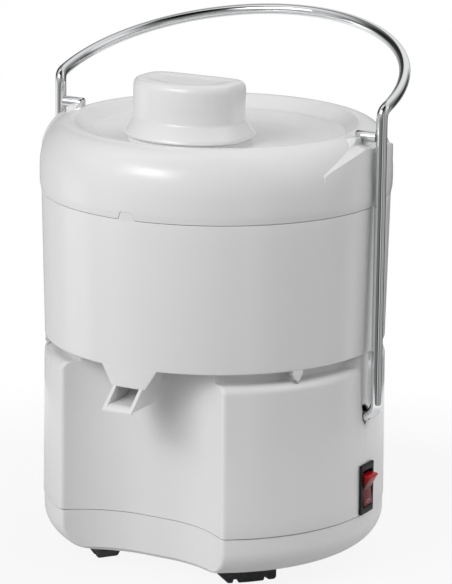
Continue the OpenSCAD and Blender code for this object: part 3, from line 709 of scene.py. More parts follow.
def foot_sole():
    """Places along a foot, and the sole's height at each: a sloping end, notches and a round end.

    The far end is a quarter circle of radius 1.2, and each notch is 2.3 deep with smooth sides.
    """
    full = FOOT_SPAN * FOOT_MID_R * math.pi / 180
    run = np.concatenate([[0, 0.25, 0.7, 1.3], np.linspace(2.5, 7, 8),
                          np.arange(9, FOOT_SPAN * 1.3 - 4, 1.1)])
    beside = np.array([0.6, 1.2, 1.45, 1.75, 2.2])
    for edge in foot_edges():
        run = run[np.abs(run - edge) > 2.6]
        run = np.concatenate([run, edge - beside, [edge], edge + beside])
    run = np.concatenate([run[run < full - 2], full - np.array([1.9, 1.4, 1.0, 0.6, 0.3, 0.08, 0])])
    run = np.sort(run)
    into_end = np.clip(run - full + 1.2, 0, 1.2)
    sole = np.maximum(0, 6.4 - run)
    sole = np.maximum(sole, 1.2 - np.sqrt(np.clip(1.44 - into_end ** 2, 0, None)))
    for edge in foot_edges():
        sole = np.maximum(sole, 2.3 * (1 - smooth((np.abs(run - edge) - 1.1) / 0.8)))
    return run, np.minimum(sole, 6.4)


def word_mesh(word, size, place):
    """Flat letters as a mesh, moved to their place while the curve that made them goes."""
    curve = bpy.data.curves.new(word, "FONT")
    curve.body, curve.size, curve.extrude = word, size * MM, 0.00006
    curve.align_x, curve.align_y = "CENTER", "CENTER"
    curve.resolution_u = 3
    text = add(word, curve)
    graph = bpy.context.evaluated_depsgraph_get()
    mesh = bpy.data.meshes.new_from_object(text.evaluated_get(graph))
    bpy.data.objects.remove(text)
    mesh.transform(place)
    return mesh


# ---------------------------------------------------------------- finishes

class Nodes:
    """Adds nodes to a node tree."""

    def __init__(self, tree):
        self.tree = tree

    def node(self, kind, links=(), **values):
        """A new node. Links are {input: source socket}; each value sets its input or property."""
        node = self.tree.nodes.new("ShaderNode" + kind)
        for key, value in values.items():
            if key in node.inputs:
                node.inputs[key].default_value = value
            else:
                setattr(node, key, value)
        for key, source in dict(links).items():
            self.tree.links.new(source, node.inputs[key])
        return node

    def spread(self, value, low, high, start=0.3, end=0.7, **values):
        """Maps start to end onto low to high, and holds the ends."""
        node = self.node("MapRange", {"Value": value}, **values)
        names = ("From Min", "From Max", "To Min", "To Max")
        for key, number in zip(names, (start, end, low, high)):
            node.inputs[key].default_value = number
        return node.outputs["Result"]

    def ramp(self, value, stops):
        """A colour ramp through (place, colour) stops."""
        node = self.node("ValToRGB", {"Fac": value})
        elements = node.color_ramp.elements
        while len(elements) < len(stops):
            elements.new(0.5)
        for element, (place, colour) in zip(elements, stops):
            element.position, element.color = place, (*colour, 1)
        return node.outputs["Color"]

    def blend(self, kind, *sources, **values):
        """The first result of a node whose inputs come from the sources in turn."""
        return self.node(kind, dict(enumerate(sources)), **values).outputs[0]


class Finish(Nodes):
    """A Principled material and the few nodes that its detail needs, all on Object coordinates."""

    def __init__(self, name, **sockets):
        self.material = bpy.data.materials.new(name)
        self.material.use_nodes = True
        super().__init__(self.material.node_tree)
        self.shader = self.tree.nodes["Principled BSDF"]
        self.coords = self.node("TexCoord").outputs["Object"]
        for key, value in sockets.items():
            self.shader.inputs[key.replace("_", " ")].default_value = value

    def place(self, stretch=(1, 1, 1)):
        """Object coordinates times stretch."""
        return self.node("Mapping", {"Vector": self.coords}, Scale=stretch).outputs["Vector"]

    def noise(self, scale, detail=3.0, roughness=0.5, stretch=(1, 1, 1)):
        """Fractal noise, from 0 to 1, of scale cells to a metre."""
        return self.node("TexNoise", {"Vector": self.place(stretch)}, Scale=scale, Detail=detail,
                         Roughness=roughness).outputs["Fac"]

    def bands(self, scale, direction="Z", distortion=0.0):
        """Sine bands, from 0 to 1, across a direction."""
        return self.node("TexWave", {"Vector": self.place()}, Scale=scale, Distortion=distortion,
                         bands_direction=direction).outputs["Fac"]

    def colours(self, value, *stops):
        """Colours the surface by value, through (place, colour) stops."""
        self.tree.links.new(self.ramp(value, stops), self.shader.inputs["Base Color"])

    def rough(self, value, low, high):
        """Spreads the roughness from low to high by value."""
        self.tree.links.new(self.spread(value, low, high), self.shader.inputs["Roughness"])

    def bump(self, value, distance):
        """Raises the surface by distance, in metres, where value is 1. Calls add up."""
        links = {"Height": value}
        socket = self.shader.inputs["Normal"]
        if socket.is_linked:
            links["Normal"] = socket.links[0].from_socket
        node = self.node("Bump", links, Distance=distance)
        self.tree.links.new(node.outputs["Normal"], socket)


def tint(colour, factor):
    """The colour times a factor, held at 1."""
    return tuple(min(1.0, c * factor) for c in colour)


def coat(cloud, stops, polish, rough, *grains, **sockets):
    """A recipe for a cloudy colour, an uneven polish and a raised grain, all of noise.

    cloud and polish are scale, detail, roughness and stretch of a noise. stops are (place, factor
    of the colour), rough is the lowest and highest roughness, and a grain is a noise and a height
    in metres.
    """
    def make(name, colour):
        """The material, in a colour."""
        f = Finish(name, **sockets)
        f.colours(f.noise(*cloud), *((at, tint(colour, factor)) for at, factor in stops))
        f.rough(f.noise(*polish), *rough)
        for *grain, height in grains:
            f.bump(f.noise(*grain), height)
        return f.material

    return make


# Glossy moulded ABS: faint cloudiness, uneven polish and the slight ripple of a moulded skin
GLOSS = coat((14, 4), ((0.25, 0.985), (0.75, 1)), (60, 5, 0.6), (0.1445, 0.2125),
             (45, 2, 6e-5), (1500, 2, 4e-6), IOR=1.5)
# Rubber: a fine pebbled skin that catches dust on its high spots
RUBBER = coat((260, 5, 0.65), ((0.3, 0.8), (0.62, 1), (0.8, 1.7)), (420, 4), (0.55, 0.8),
              (1300, 3, 4e-5), IOR=1.45, Sheen_Weight=0.15)
# Satin plastic with a fine spark-eroded grain
SATIN = coat((180, 4), ((0.3, 0.85), (0.7, 1.15)), (300, 4), (0.3, 0.46), (2200, 2, 1.2e-5),
             IOR=1.45, Specular_IOR_Level=0.25)
# Plated steel, with the marks of its drawing or turning along one way
PLATED = coat((90, 5, 0.6), ((0.3, 0.85), (0.7, 1)), (350, 4, 0.6, (1, 1, 14)), (0.2, 0.42),
              (900, 3, 0.5, (1, 1, 14), 8e-6), Metallic=1.0, IOR=2.5)
# Die-cast metal: a cloudy, faintly pitted skin
CAST = coat((60, 6, 0.65), ((0.3, 0.75), (0.7, 1)), (160, 5), (0.38, 0.62), (500, 4, 0.6, 5e-5),
            Metallic=1.0, IOR=1.8)
# Pressed graphite, with a grey polish where it has rubbed
CARBON = coat((500, 5, 0.7), ((0.35, 1), (0.75, 3)), (200, 4), (0.35, 0.6), (1800, 3, 2e-5),
              IOR=1.6)
# Bright chrome: a mirror with a faint long-wave ripple and a few dull specks
CHROME = coat((25, 3), ((0.3, 0.97), (0.7, 1)), (900, 5, 0.7), (0.02, 0.07), (55, 2, 1e-5),
              Metallic=1.0, IOR=2.9)
# Pad-printed ink, slightly broken at its edges
PRINT = coat((1600, 4), ((0.25, 0.75), (0.5, 1)), (600, 3), (0.4, 0.6), (2500, 2, 6e-6), IOR=1.5)


def strainer_sheet(name, colour):
    """Stainless sheet: small round holes on a close pitch, drawn as dimples coloured near black as
    painted shade, and a grain.
    """
    f = Finish(name, Metallic=1.0, IOR=2.5)
    cells = f.node("TexVoronoi", {"Vector": f.coords}, Scale=620.0, Randomness=0.25)
    hole = f.spread(cells.outputs["Distance"], 0.0, 1.0, 0.22, 0.32)
    # Painted shade: each hole is coloured near black for the dark inside it
    f.colours(hole, (0.0, (0.02, 0.02, 0.02)), (1.0, colour))
    f.rough(f.noise(240, 4, 0.6, (1, 1, 10)), 0.22, 0.4)
    f.bump(hole, 0.0002)
    return f.material


def layered(bands, stops, polish, rough, height, **sockets):
    """A recipe for a surface of raised bands, coloured across each and unevenly polished."""
    def make(name, colour):
        """The material, in a colour."""
        f = Finish(name, **sockets)
        value = f.bands(*bands)
        f.colours(value, *((at, tint(colour, factor)) for at, factor in stops))
        f.rough(f.noise(*polish), *rough)
        f.bump(value, height)
        return f.material

    return make


# Stacked and varnished steel plates, half a millimetre each
PLATES = layered((310,), ((0.2, 0.35), (0.6, 1)), (120, 4), (0.4, 0.65), 1.2e-4,
                 Metallic=0.7, IOR=2.0)
# Enamelled wire wound side by side, with small gaps between the turns: painted shade in the gaps
# and a painted highlight along each turn
WIRE = layered((480, "DIAGONAL", 0.6), ((0.1, 0.3), (0.6, 1), (0.95, 1.25)), (300, 3),
               (0.25, 0.45), 2e-4, Metallic=0.75, IOR=1.7, Coat_Weight=0.6, Coat_Roughness=0.2)


# Heights, in metres, between which the rocker goes from painted shade to painted light
LENS_PAINTED_LIGHT = (0.0585, 0.0645)


def red_lens(name, colour):
    """Red plastic in a deep colour, painted darker low down and lighter at the top as light from
    above, with a wear haze.
    """
    f = Finish(name, IOR=1.45, Specular_IOR_Level=0.3)
    # Painted light and shade: the colour brightens with height, as though lit from above
    painted_light = f.spread(f.node("SeparateXYZ", {0: f.coords}).outputs[2], 0.0, 0.85, *LENS_PAINTED_LIGHT)
    painted_light = f.blend("Math", painted_light, f.spread(f.noise(220, 3), 0.0, 0.15), operation="ADD")
    f.colours(painted_light, (0.0, tint(colour, 0.3)), (1.0, tint(colour, 1.15)))
    f.rough(f.noise(500, 4), 0.16, 0.28)
    f.bump(f.noise(700, 2), 0.00001)
    return f.material


# Each slot's colour, or the setting that holds it, and its recipe
LOOKS = {
    "white_plastic": ("body", GLOSS),
    "black_rubber": ("rubber", RUBBER),
    "steel": ((0.6, 0.6, 0.6), PLATED),
    "cast_aluminium": ((0.66, 0.66, 0.67), CAST),
    "stainless_sheet": ((0.66, 0.66, 0.65), strainer_sheet),
    "laminations": ((0.32, 0.32, 0.33), PLATES),
    "copper_wire": ((0.55, 0.2, 0.07), WIRE),
    "black_plastic": ("trim", SATIN),
    "carbon": ((0.02, 0.02, 0.02), CARBON),
    "red_plastic": ("rocker", red_lens),
    "ivory_plastic": ((0.7, 0.66, 0.55), SATIN),
    "yellow_plastic": ((0.66, 0.45, 0.06), SATIN),
    "lead_insulation": ((0.06, 0.14, 0.4), SATIN),
    "chrome": ((0.86, 0.87, 0.88), CHROME),
    "print": ((0.42, 0.38, 0.4), PRINT),
}
FINISHES = {}


def finish(slot):
    """The material of a slot, made once."""
    if slot not in FINISHES:
        colour, make = LOOKS[slot]
        if isinstance(colour, str):
            colour = tuple(getattr(bpy.context.scene.juicer_colours, colour))
        FINISHES[slot] = make("juicer_" + slot, colour)
    return FINISHES[slot]


# ---------------------------------------------------------------- settings

def colour_setting(name, description, default):
    """A colour that the panel shows."""
    return FloatVectorProperty(name=name, description=description, subtype="COLOR", size=3, min=0,
                               max=1, default=default)


class JuicerColours(PropertyGroup):
    body: colour_setting("Body", "Colour of the white mouldings", (0.80, 0.80, 0.80))
    rubber: colour_setting("Rubber", "Colour of the feet and the inlet bush", (0.025, 0.026, 0.03))
    trim: colour_setting("Switch frame", "Colour of the switch's frame", (0.010, 0.011, 0.012))
    rocker: colour_setting("Rocker", "Colour of the switch's rocker", (0.40, 0.006, 0.010))


class JuicerSizes(PropertyGroup):
    pillar_round: FloatProperty(
        name="Pillar rounding", min=1, max=6, default=3.5,
        description="Radius of the upright edges beside the recess, in millimetres")
    rod_sides: IntProperty(
        name="Rod sides", min=12, max=48, default=28,
        description="Number of sides of the bail's rod")
    edge_round: FloatProperty(
        name="Edge rounding", min=0.1, max=1, default=0.35,
        description="Radius of the spout's moulded edges, in millimetres")


# ---------------------------------------------------------------- operators

class JUICER_OT_housing(Operator):
    """Motor housing: rounded pillars, ledge, posts behind the bail, slots and notches"""
    bl_idname = "juicer.housing"
    bl_label = "Motor housing"

    def execute(self, context):
        grid, keep = housing_grid(context.scene.juicer_sizes.pillar_round)
        obj = wall_inwards(skin("housing_shell", grid, keep=keep))
        w, h = SWITCH_HOLE
        cut(obj, [box(100, 115, -w, w)], SWITCH_MID - h, SWITCH_MID + h)
        moulded(obj, "base_housing")
        return {"FINISHED"}


class JUICER_OT_cover(Operator):
    """Bottom cover: rounded lower edge, air slots and screw wells"""
    bl_idname = "juicer.cover"
    bl_label = "Bottom cover"

    def execute(self, context):
        grid, centre = cover_grid(context.scene.juicer_sizes.pillar_round)
        obj = wall_inwards(skin("cover_shell", grid, low_pole=centre))
        # Each air slot is 3.2 mm wide, and they shorten away from the middle
        slots = [box(i * 7 - 1.6, i * 7 + 1.6, -22 + abs(i) * 2, 22 - abs(i) * 2)
                 for i in range(-5, 6)]
        wells = polar(WELL_R, np.radians([110, 190, 350, 70]), 0.0)
        hole = polar(4.2, circle(32), 0.0)
        cut(obj, slots + [(well + hole)[:, :2] for well in wells], 8, 18)
        moulded(obj, "bottom_cover")
        wall = [(4.2, 12.4), (4.9, 12.4), (4.9, 23.6), (2.2, 23.6), (2.2, 17.7), (4.2, 17.7)]
        for i, place in enumerate(wells):
            well = lathe(f"screw_well_{i + 1}", wall, 32)
            well.data.transform(Matrix.Translation(place * MM))
            moulded(well)
        return {"FINISHED"}


class JUICER_OT_bowl(Operator):
    """Juice bowl: wall, floor and collar, apron over the spout, spout, lugs and the lid's tab"""
    bl_idname = "juicer.bowl"
    bl_label = "Juice bowl"

    def execute(self, context):
        low, top, floor = BOWL_LOW_Z, SEAM_Z - GAP, BOWL_FLOOR_Z
        z = np.concatenate([[low + 1], np.linspace(low + 4, top - 0.6, 12)])
        cone = BOWL_LOW_R + (BODY_R - BOWL_LOW_R) * (z - low) / (top - low)
        profile = [[(105.9, low), (107.4, low), (107.9, low + 0.12), (108.15, low + 0.45)],
                   joined(cone, z),
                   raised(top, (BODY_R - 0.05, -0.3), (BODY_R - 0.3, 0), (107.8, 0), (107.5, -0.3)),
                   raised(floor, (105.8, 6.5), (105.2, 4.3), (103.9, 2.9), (101.7, WALL),
                          (37, WALL), (35.2, 3.1), (34.5, 4.6)),
                   [(34.5, 165.6), (34.1, 166), (32.4, 166), (32, 165.6), (32, floor),
                    (105.5, floor), (105.7, floor - 0.2), (105.7, low + 0.2)]]
        moulded(lathe("bowl_wall", np.concatenate(profile), 256), "juice_bowl")

        # Apron: its sides lean in below the bowl's edge
        z = np.concatenate([[144.6, low + 0.2], np.linspace(low, APRON_Z, 10)])[::-1]
        half = np.interp(z, [APRON_Z, low, 144.6], [11.6, 19.2, 19.6])
        apron = curved_plate("bowl_apron", z, half, 33, BOWL_LOW_R, BOWL_LOW_R - 2.6)
        moulded(bevel(apron, 0.3), "juice_bowl")
        spout = bevel(spout_trough(), context.scene.juicer_sizes.edge_round)
        moulded(spout, "juice_bowl")
        for s, side in SIDES:
            moulded(bevel(bowl_lug(s, "bowl_lug_" + side), 0.35), "juice_bowl")

        # Tab: it narrows towards its top and stands a little proud of the bowl
        z = np.linspace(SEAM_Z - 3, SEAM_Z + 4.7, 8)
        half = np.interp(z, [SEAM_Z, SEAM_Z + 4.7], [5.9, 3.75])
        front = np.interp(z, [SEAM_Z - 3, SEAM_Z - 0.5, SEAM_Z + 1, SEAM_Z + 4.7],
                          [109.9, 109.97, 110.2, 110.75])
        tab = curved_plate("bowl_tab", z, half, 13, front[:, None], 107.8)
        moulded(bevel(tab, 0.15, 1), "juice_bowl")
        return {"FINISHED"}


class JUICER_OT_lid(Operator):
    """Lid: shoulder, crest, sunken dish, mouth, chute and the cams for the latch pins"""
    bl_idname = "juicer.lid"
    bl_label = "Lid"

    def execute(self, context):
        moulded(skin("lid_dome", lid_grid(), close_rows=True), "lid")
        for s, side in SIDES:
            moulded(lid_cam(s, "lid_cam_" + side), "lid")
        shroud = [(95, 240.3), (95.3, 240), (96.7, 240), (97, 240.3), (97, 276), (95, 276)]
        moulded(lathe("lid_shroud", shroud, 160), "lid")

        low, top = CHUTE_LOW_Z, BRIM_Z - 0.8
        rows = [(-4.6, low + 0.4), (-4.2, low), (-2.6, low), (-2.2, low + 0.4), (-2.2, 230),
                (-2.2, 266.9), (2.5, 266.9), (2.5, 269.1), (-2.2, 269.1), (-2.2, top - 0.4),
                (-2.6, top), (-4.2, top), (-4.6, top - 0.4), (-4.6, 230)]
        chute = skin("feed_chute_tube", oval_rows(even_oval(160), rows), close_rows=True)
        moulded(chute, "feed_chute")
        return {"FINISHED"}


class JUICER_OT_pusher(Operator):
    """Food pusher: stem, flared brim, grip and its slightly sunken top"""
    bl_idname = "juicer.pusher"
    bl_label = "Food pusher"

    def execute(self, context):
        top = PUSHER_TOP_Z
        u = np.radians(np.linspace(10, 90, 9))
        rows = [raised(top, (-9.4, -4), (-7.6, -4.9), (-7.2, -6)),
                [(-7.2, 290), (-7.2, 230), (-7.2, 192.3), (-6.9, 192), (-5.3, 192), (-5, 192.3),
                 (-5, 230), (-5, 274.6), (-4.6, 275.1)],
                raised(BRIM_Z, (-3.8, 0), (4.9, 0), (6.0, 0.15), (6.6, 0.6), (6.85, 1.3),
                       (6.6, 2.2), (6.0, 3.2)),
                [(4.4, 280.4), (2.6, 282.9), (0.9, 285.2)],
                raised(CREASE_Z, (0.25, 0.2), (0, 1.2), (0, 9), (0, 18.5)),
                joined(-3.0 * (1 - np.cos(u)), top - 5.5 + 5.2 * np.sin(u)),
                raised(top, (-4.2, -0.14), (-5.6, 0), (-6.6, -0.03))]
        grid = oval_rows(even_oval(192), np.concatenate(rows))
        # The top is slightly sunken, and a low ridge crosses it parallel to its flat back
        centre = np.array([0, -PUSHER_Y, top - 0.6])
        scale = np.linspace(0.96, 0.04, 24)[:, None]
        cap = centre + (grid[-1] - centre) * scale[..., None]
        ridge = 0.42 * np.exp(-((cap[..., 1] + PUSHER_Y - 11.5) / 0.9) ** 2)
        cap[..., 2] = top - 0.03 - 0.75 * smooth((1 - scale) / 0.35)
        cap[..., 2] += ridge * smooth((1 - scale) / 0.2)
        centre[2] = cap[-1, :, 2].mean()
        pusher = skin("pusher_cap", np.concatenate([grid, cap]), low_pole=(0, -PUSHER_Y, top - 3.9),
                      high_pole=centre)
        done(pusher, "pusher", "white_plastic", "food_pusher")
        return {"FINISHED"}


class JUICER_OT_bail(Operator):
    """Bail and its latch pins"""
    bl_idname = "juicer.bail"
    bl_label = "Bail"

    def execute(self, context):
        path = bail_path()
        grid = tube(path, ROD_R, context.scene.juicer_sizes.rod_sides, np.array([0, -0.6, 0.8]))
        rod = outwards(skin("bail_rod", grid, low_pole=path[0], high_pole=path[-1]))
        done(rod, "bail", "chrome", "handle_bail")
        ends = [(0.6, 98.5), (2.9, 98.52), (3.3, 98.68), (3.5, 99.05), (3.5, 105), (3.5, 112.3)]
        for s, side in SIDES:
            grid = turned(ends, circle(28))[..., [2, 0, 1]] * [s, 1, 1] + [0, 0, PIN_Z]
            done(capped("latch_pin_" + side, grid, 32), "bail", "chrome", "latch_pins")
        return {"FINISHED"}


class JUICER_OT_switch(Operator):
    """Rocker switch: frame, rocker and its lettering"""
    bl_idname = "juicer.switch"
    bl_label = "Rocker switch"

    def execute(self, context):
        (w, h), front = SWITCH_HALF, SWITCH_FRONT
        loops = [(92, 7.3, h - 3.3, 0.6), (109.4, 7.3, h - 3.3, 0.6),
                 (109.45, w - 0.1, h - 0.1, 1.0), (front - 0.35, w, h, 1.0),
                 (front - 0.08, w - 0.12, h - 0.12, 0.95), (front, w - 0.4, h - 0.4, 0.8),
                 (front, 6.5, h - 4.0, 0.5), (front - 0.1, 6.2, h - 4.3, 0.4),
                 (front - 0.4, 6.1, h - 4.4, 0.35), (99.4, 6.1, h - 4.4, 0.35)]
        grid = np.array([rounded_loop(*loop) for loop in loops])
        done(capped("switch_frame", grid, 32), "base", "black_plastic", "switch_bezel")

        outline = [(-2.6, -3), (-2.6, 3), (-0.5, 9.6), (4.9, 10.6), (6.3, 9.9), (4.9, 5.4),
                   (3.95, 2.6), (3.5, 0), (3.95, -2.6), (4.9, -5.4), (6.3, -9.9), (4.9, -10.6),
                   (-0.5, -9.6)]
        tilt = math.radians(11)

        def place(o, y):
            """Tilts the outline about the pin and sets it at y."""
            x, z = o[:, 0], o[:, 1]
            return joined(PIN_X + x * math.cos(tilt) + z * math.sin(tilt), y,
                          SWITCH_MID - x * math.sin(tilt) + z * math.cos(tilt))

        key = bevel(prism("switch_key", outline, -5.7, 5.7, place), 0.45, 3, 18)
        done(key, "rocker", "red_plastic", "switch_rocker")

        # Letters stand upright on the lower face, which leans by its own slope and by the tilt
        height = -7.4
        face_x = np.interp(-height, [5.4, 9.9], [4.9, 6.3]) + 0.03
        spot = (Matrix.Translation((PIN_X * MM, 0, SWITCH_MID * MM)) @ Matrix.Rotation(tilt, 4, "Y")
                @ Matrix.Translation((face_x * MM, 0, height * MM))
                @ Matrix.Rotation(-math.atan2(2.4, 9.9 - 2.6), 4, "Y")
                @ Matrix(((0, 0, 1), (1, 0, 0), (0, 1, 0))).to_4x4())
        word = add("switch_word_off", word_mesh("OFF", 3.2, spot))
        done(word, "rocker", "red_plastic", look="print")
        return {"FINISHED"}


class JUICER_OT_feet(Operator):
    """Four rubber feet, each with a flange, a sloping end and two notches across its sole"""
    bl_idname = "juicer.feet"
    bl_label = "Feet"

    def execute(self, context):
        run, sole = foot_sole()
        near, far, flange = FOOT_R
        # The tread follows the sole's height, and the rest of the section keeps its own
        tread = np.array([(near, 1), (near, 0.7), (near + 0.35, 0.25), (near + 1.1, 0),
                          ((near + far) / 2, 0), (far - 1.6, 0), (far - 0.6, 0.3),
                          (far - 0.1, 0.9), (far, 1.6)])
        upper = np.array([(far, 8.2), (far + 0.5, 8.9), (far + 1.4, 9.4), (flange, 9.8),
                          (flange, COVER_Z), (near, COVER_Z), (near, 9)])
        r = np.concatenate([tread, upper])[:, 0]
        z = np.concatenate([sole[:, None] + tread[:, 1], upper[:, 1] + 0 * run[:, None]], 1)
        for s, side in SIDES:
            for middle, end in ((45, "front"), (135, "back")):
                turn = middle - FOOT_SPAN / 2 + np.degrees(run / FOOT_MID_R)
                grid = polar(r, np.radians(-90 + s * turn)[:, None], z)
                done(capped(f"foot_{end}_{side}", grid, 40), "base", "black_rubber", "feet")
        return {"FINISHED"}


class JUICER_OT_inlet(Operator):
    """Bush where the mains lead would enter"""
    bl_idname = "juicer.inlet"
    bl_label = "Inlet bush"

    def execute(self, context):
        profile = [(3.3, 98), (10, 98), (10, 105), (7.4, 105), (7.4, 109.6), (9.2, 109.6),
                   (9.5, 110), (9.2, 111.3), (8.7, 111.7), (7, 111.7), (6.6, 112.1), (6.5, 112.9),
                   (6.1, 113.1), (6.1, 113.7), (6.4, 113.9), (6.3, 114.7), (5.9, 114.9),
                   (5.9, 115.5), (6.1, 115.7), (6.0, 116.5), (5.6, 116.7), (5.6, 117.1),
                   (5.3, 117.7), (4.8, 118), (3.7, 118), (3.3, 117.6)]
        bush = lathe("inlet_bush", profile, 64)
        lay_down = Matrix.Rotation(math.radians(-90), 4, "X")
        bush.data.transform(Matrix.Translation((0, 0, INLET_Z * MM)) @ lay_down)
        done(outwards(bush), "base", "black_rubber", "cord_inlet")
        return {"FINISHED"}


class JUICER_OT_workings(Operator):
    """Finishes for every inner part that keeps its CAD shape"""
    bl_idname = "juicer.workings"
    bl_label = "Inner parts"

    def execute(self, context):
        for part in frame["record"]["subparts"]:
            obj = frame["nodes"].get(part["node"])
            if obj is not None and not obj.hide_render:
                obj.data.materials.clear()
                obj.data.materials.append(finish(part["material_slot"]))
        return {"FINISHED"}


# ---------------------------------------------------------------- stage

# Lamps: name, degrees round from the front (positive to the right), degrees up, distance, width
# and height in metres, power in watts. The three nest, so that the highlight has a soft edge.
LAMPS = (
    ("key_core", -16, 30, 2.0, 0.4, 0.25, 2.2),
    ("key_middle", -16, 30, 2.02, 0.9, 0.5, 4.3),
    ("key_edge", -17, 30, 2.04, 1.5, 0.9, 6.2),
)
LAMP_TARGET_Z = 190.0

# The studio as gloss and metal see it: rings of cards, each (degrees up, ((degrees round,
# brightness), ...))
RINGS = (
    (-36, ((-180, 0.5), (-150, 0.85), (-120, 1.0), (-85, 1.0), (-66, 0.65), (-45, 0.4), (-20, 0.2),
           (10, 0.4), (45, 0.18), (110, 0.18), (135, 0.6), (180, 0.5))),
    (-14, ((-180, 0.08), (-146, 0.04), (-136, 0.6), (-98, 0.7), (-90, 0.75), (-87, 1.3),
           (-63, 1.25), (-60, 0.3), (-44, 0.75), (-32, 0.35), (-12, 0.16), (28, 0.14), (33, 0.01),
           (39, 0.01), (45, 0.12), (51, 0.8), (56, 0.75), (61, 0.18), (88, 0.28), (98, 0.5),
           (108, 0.4), (114, 0.12), (124, 0.2), (130, 0.8), (136, 0.75), (142, 0.02), (160, 0.04),
           (168, 0.2), (180, 0.08))),
    (8, ((-180, 0.8), (-148, 0.6), (-132, 0.12), (-98, 0.04), (-76, 0.0), (-62, 0.1), (-50, 0.45),
         (-20, 0.65), (10, 0.4), (45, 0.25), (62, 0.3), (80, 0.6), (106, 0.45), (114, 0.04),
         (142, 0.12), (150, 0.0), (172, 0.0), (180, 0.8))),
    (38, ((-180, 0.9), (-144, 0.85), (-136, 0.02), (-98, 0.01), (-84, 0.06), (-72, 0.6),
          (-24, 0.5), (5, 0.15), (14, 0.02), (36, 0.02), (58, 0.2), (74, 0.7), (80, 0.95),
          (104, 0.95), (114, 0.35), (142, 0.3), (155, 0.6), (180, 0.9))),
    (62, ((-180, 0.85), (-150, 0.75), (-138, 0.4), (-110, 0.4), (-90, 0.7), (-80, 0.95),
          (-42, 0.95), (-30, 0.35), (-6, 0.04), (5, 0.0), (40, 0.0), (58, 0.12), (84, 0.65),
          (140, 0.75), (180, 0.85))),
)
# The studio as matt surfaces see it: soft glows, each (degrees round, up, across, brightness)
GLOWS = ((-55, 10, 40, 1.0), (-20, 30, 35, 2.35), (-20, 60, 45, 0.45), (120, 25, 50, 1.9),
         (150, 65, 50, 1.0), (60, -20, 50, 0.45), (0, -60, 60, 1.5))
FLOOR_R = 420.0

# The camera: the view's size and, in its pixels, the focal length and the lens axis's place
# across it; its turn round the axis, pitch and roll; its distance and its height over the seam,
# in radii of the body
VIEW = (452, 584)
FOCAL = 3145.85
LENS_X = 215.26
TURN, PITCH, ROLL = math.radians(29.3), 0.2483, 0.009
FAR, HIGH = 17.628, 3.847


def direction(azimuth, elevation):
    """Unit vector towards azimuth, from the front and positive to the right, and elevation."""
    a, e = math.radians(azimuth), math.radians(elevation)
    return Vector((math.sin(a) * math.cos(e), -math.cos(a) * math.cos(e), math.sin(e)))


def seen_rays(nodes, rays):
    """1 for camera, glossy and transmission rays."""
    value = rays.outputs["Is Camera Ray"]
    for other in ("Is Glossy Ray", "Is Transmission Ray"):
        value = nodes.blend("Math", value, rays.outputs[other], operation="MAXIMUM")
    return value


def build_floor():
    """A pale disc. The rays that see show it nearly white, and wholly so at its rim.

    To other rays it is plain grey paint.
    """
    radii = np.array([20, 200, 300, FLOOR_R])[:, None]
    floor = skin("floor", polar(radii, circle(96), 0.0), low_pole=(0, 0, 0))
    material = bpy.data.materials.new("floor_white")
    material.use_nodes = True
    material.node_tree.nodes.clear()
    f = Nodes(material.node_tree)
    rays, out = f.node("LightPath"), f.node("OutputMaterial")
    place = f.node("TexCoord").outputs["Object"]
    from_centre = f.node("VectorMath", {0: place}, operation="LENGTH")
    rim = f.spread(from_centre.outputs["Value"], 0.9, 1.0, 0.25, FLOOR_R * MM - 0.02)
    near = f.spread(rays.outputs["Is Camera Ray"], 0.4, 0.9, 0.0, 1.0)
    f.tree.links.new(near, rim.node.inputs["To Min"])
    glowing = f.blend("Math", seen_rays(f, rays), rim, operation="MULTIPLY")
    paint = f.node("BsdfDiffuse", Color=(0.5, 0.5, 0.5, 1)).outputs[0]
    white = f.node("Emission", Strength=1.0).outputs[0]
    f.tree.links.new(f.blend("MixShader", glowing, paint, white), out.inputs["Surface"])
    floor.data.materials.append(material)


def build_lamp(name, azimuth, elevation, distance, width, height, power):
    """A rectangular lamp that faces the middle of the juicer."""
    data = bpy.data.lights.new(name, "AREA")
    data.shape, data.size, data.size_y, data.energy = "RECTANGLE", width, height, power
    lamp = add(name, data)
    towards = direction(azimuth, elevation)
    lamp.location = Vector((0, 0, LAMP_TARGET_Z * MM)) + distance * towards
    lamp.rotation_euler = (-towards).to_track_quat("-Z", "Y").to_euler()


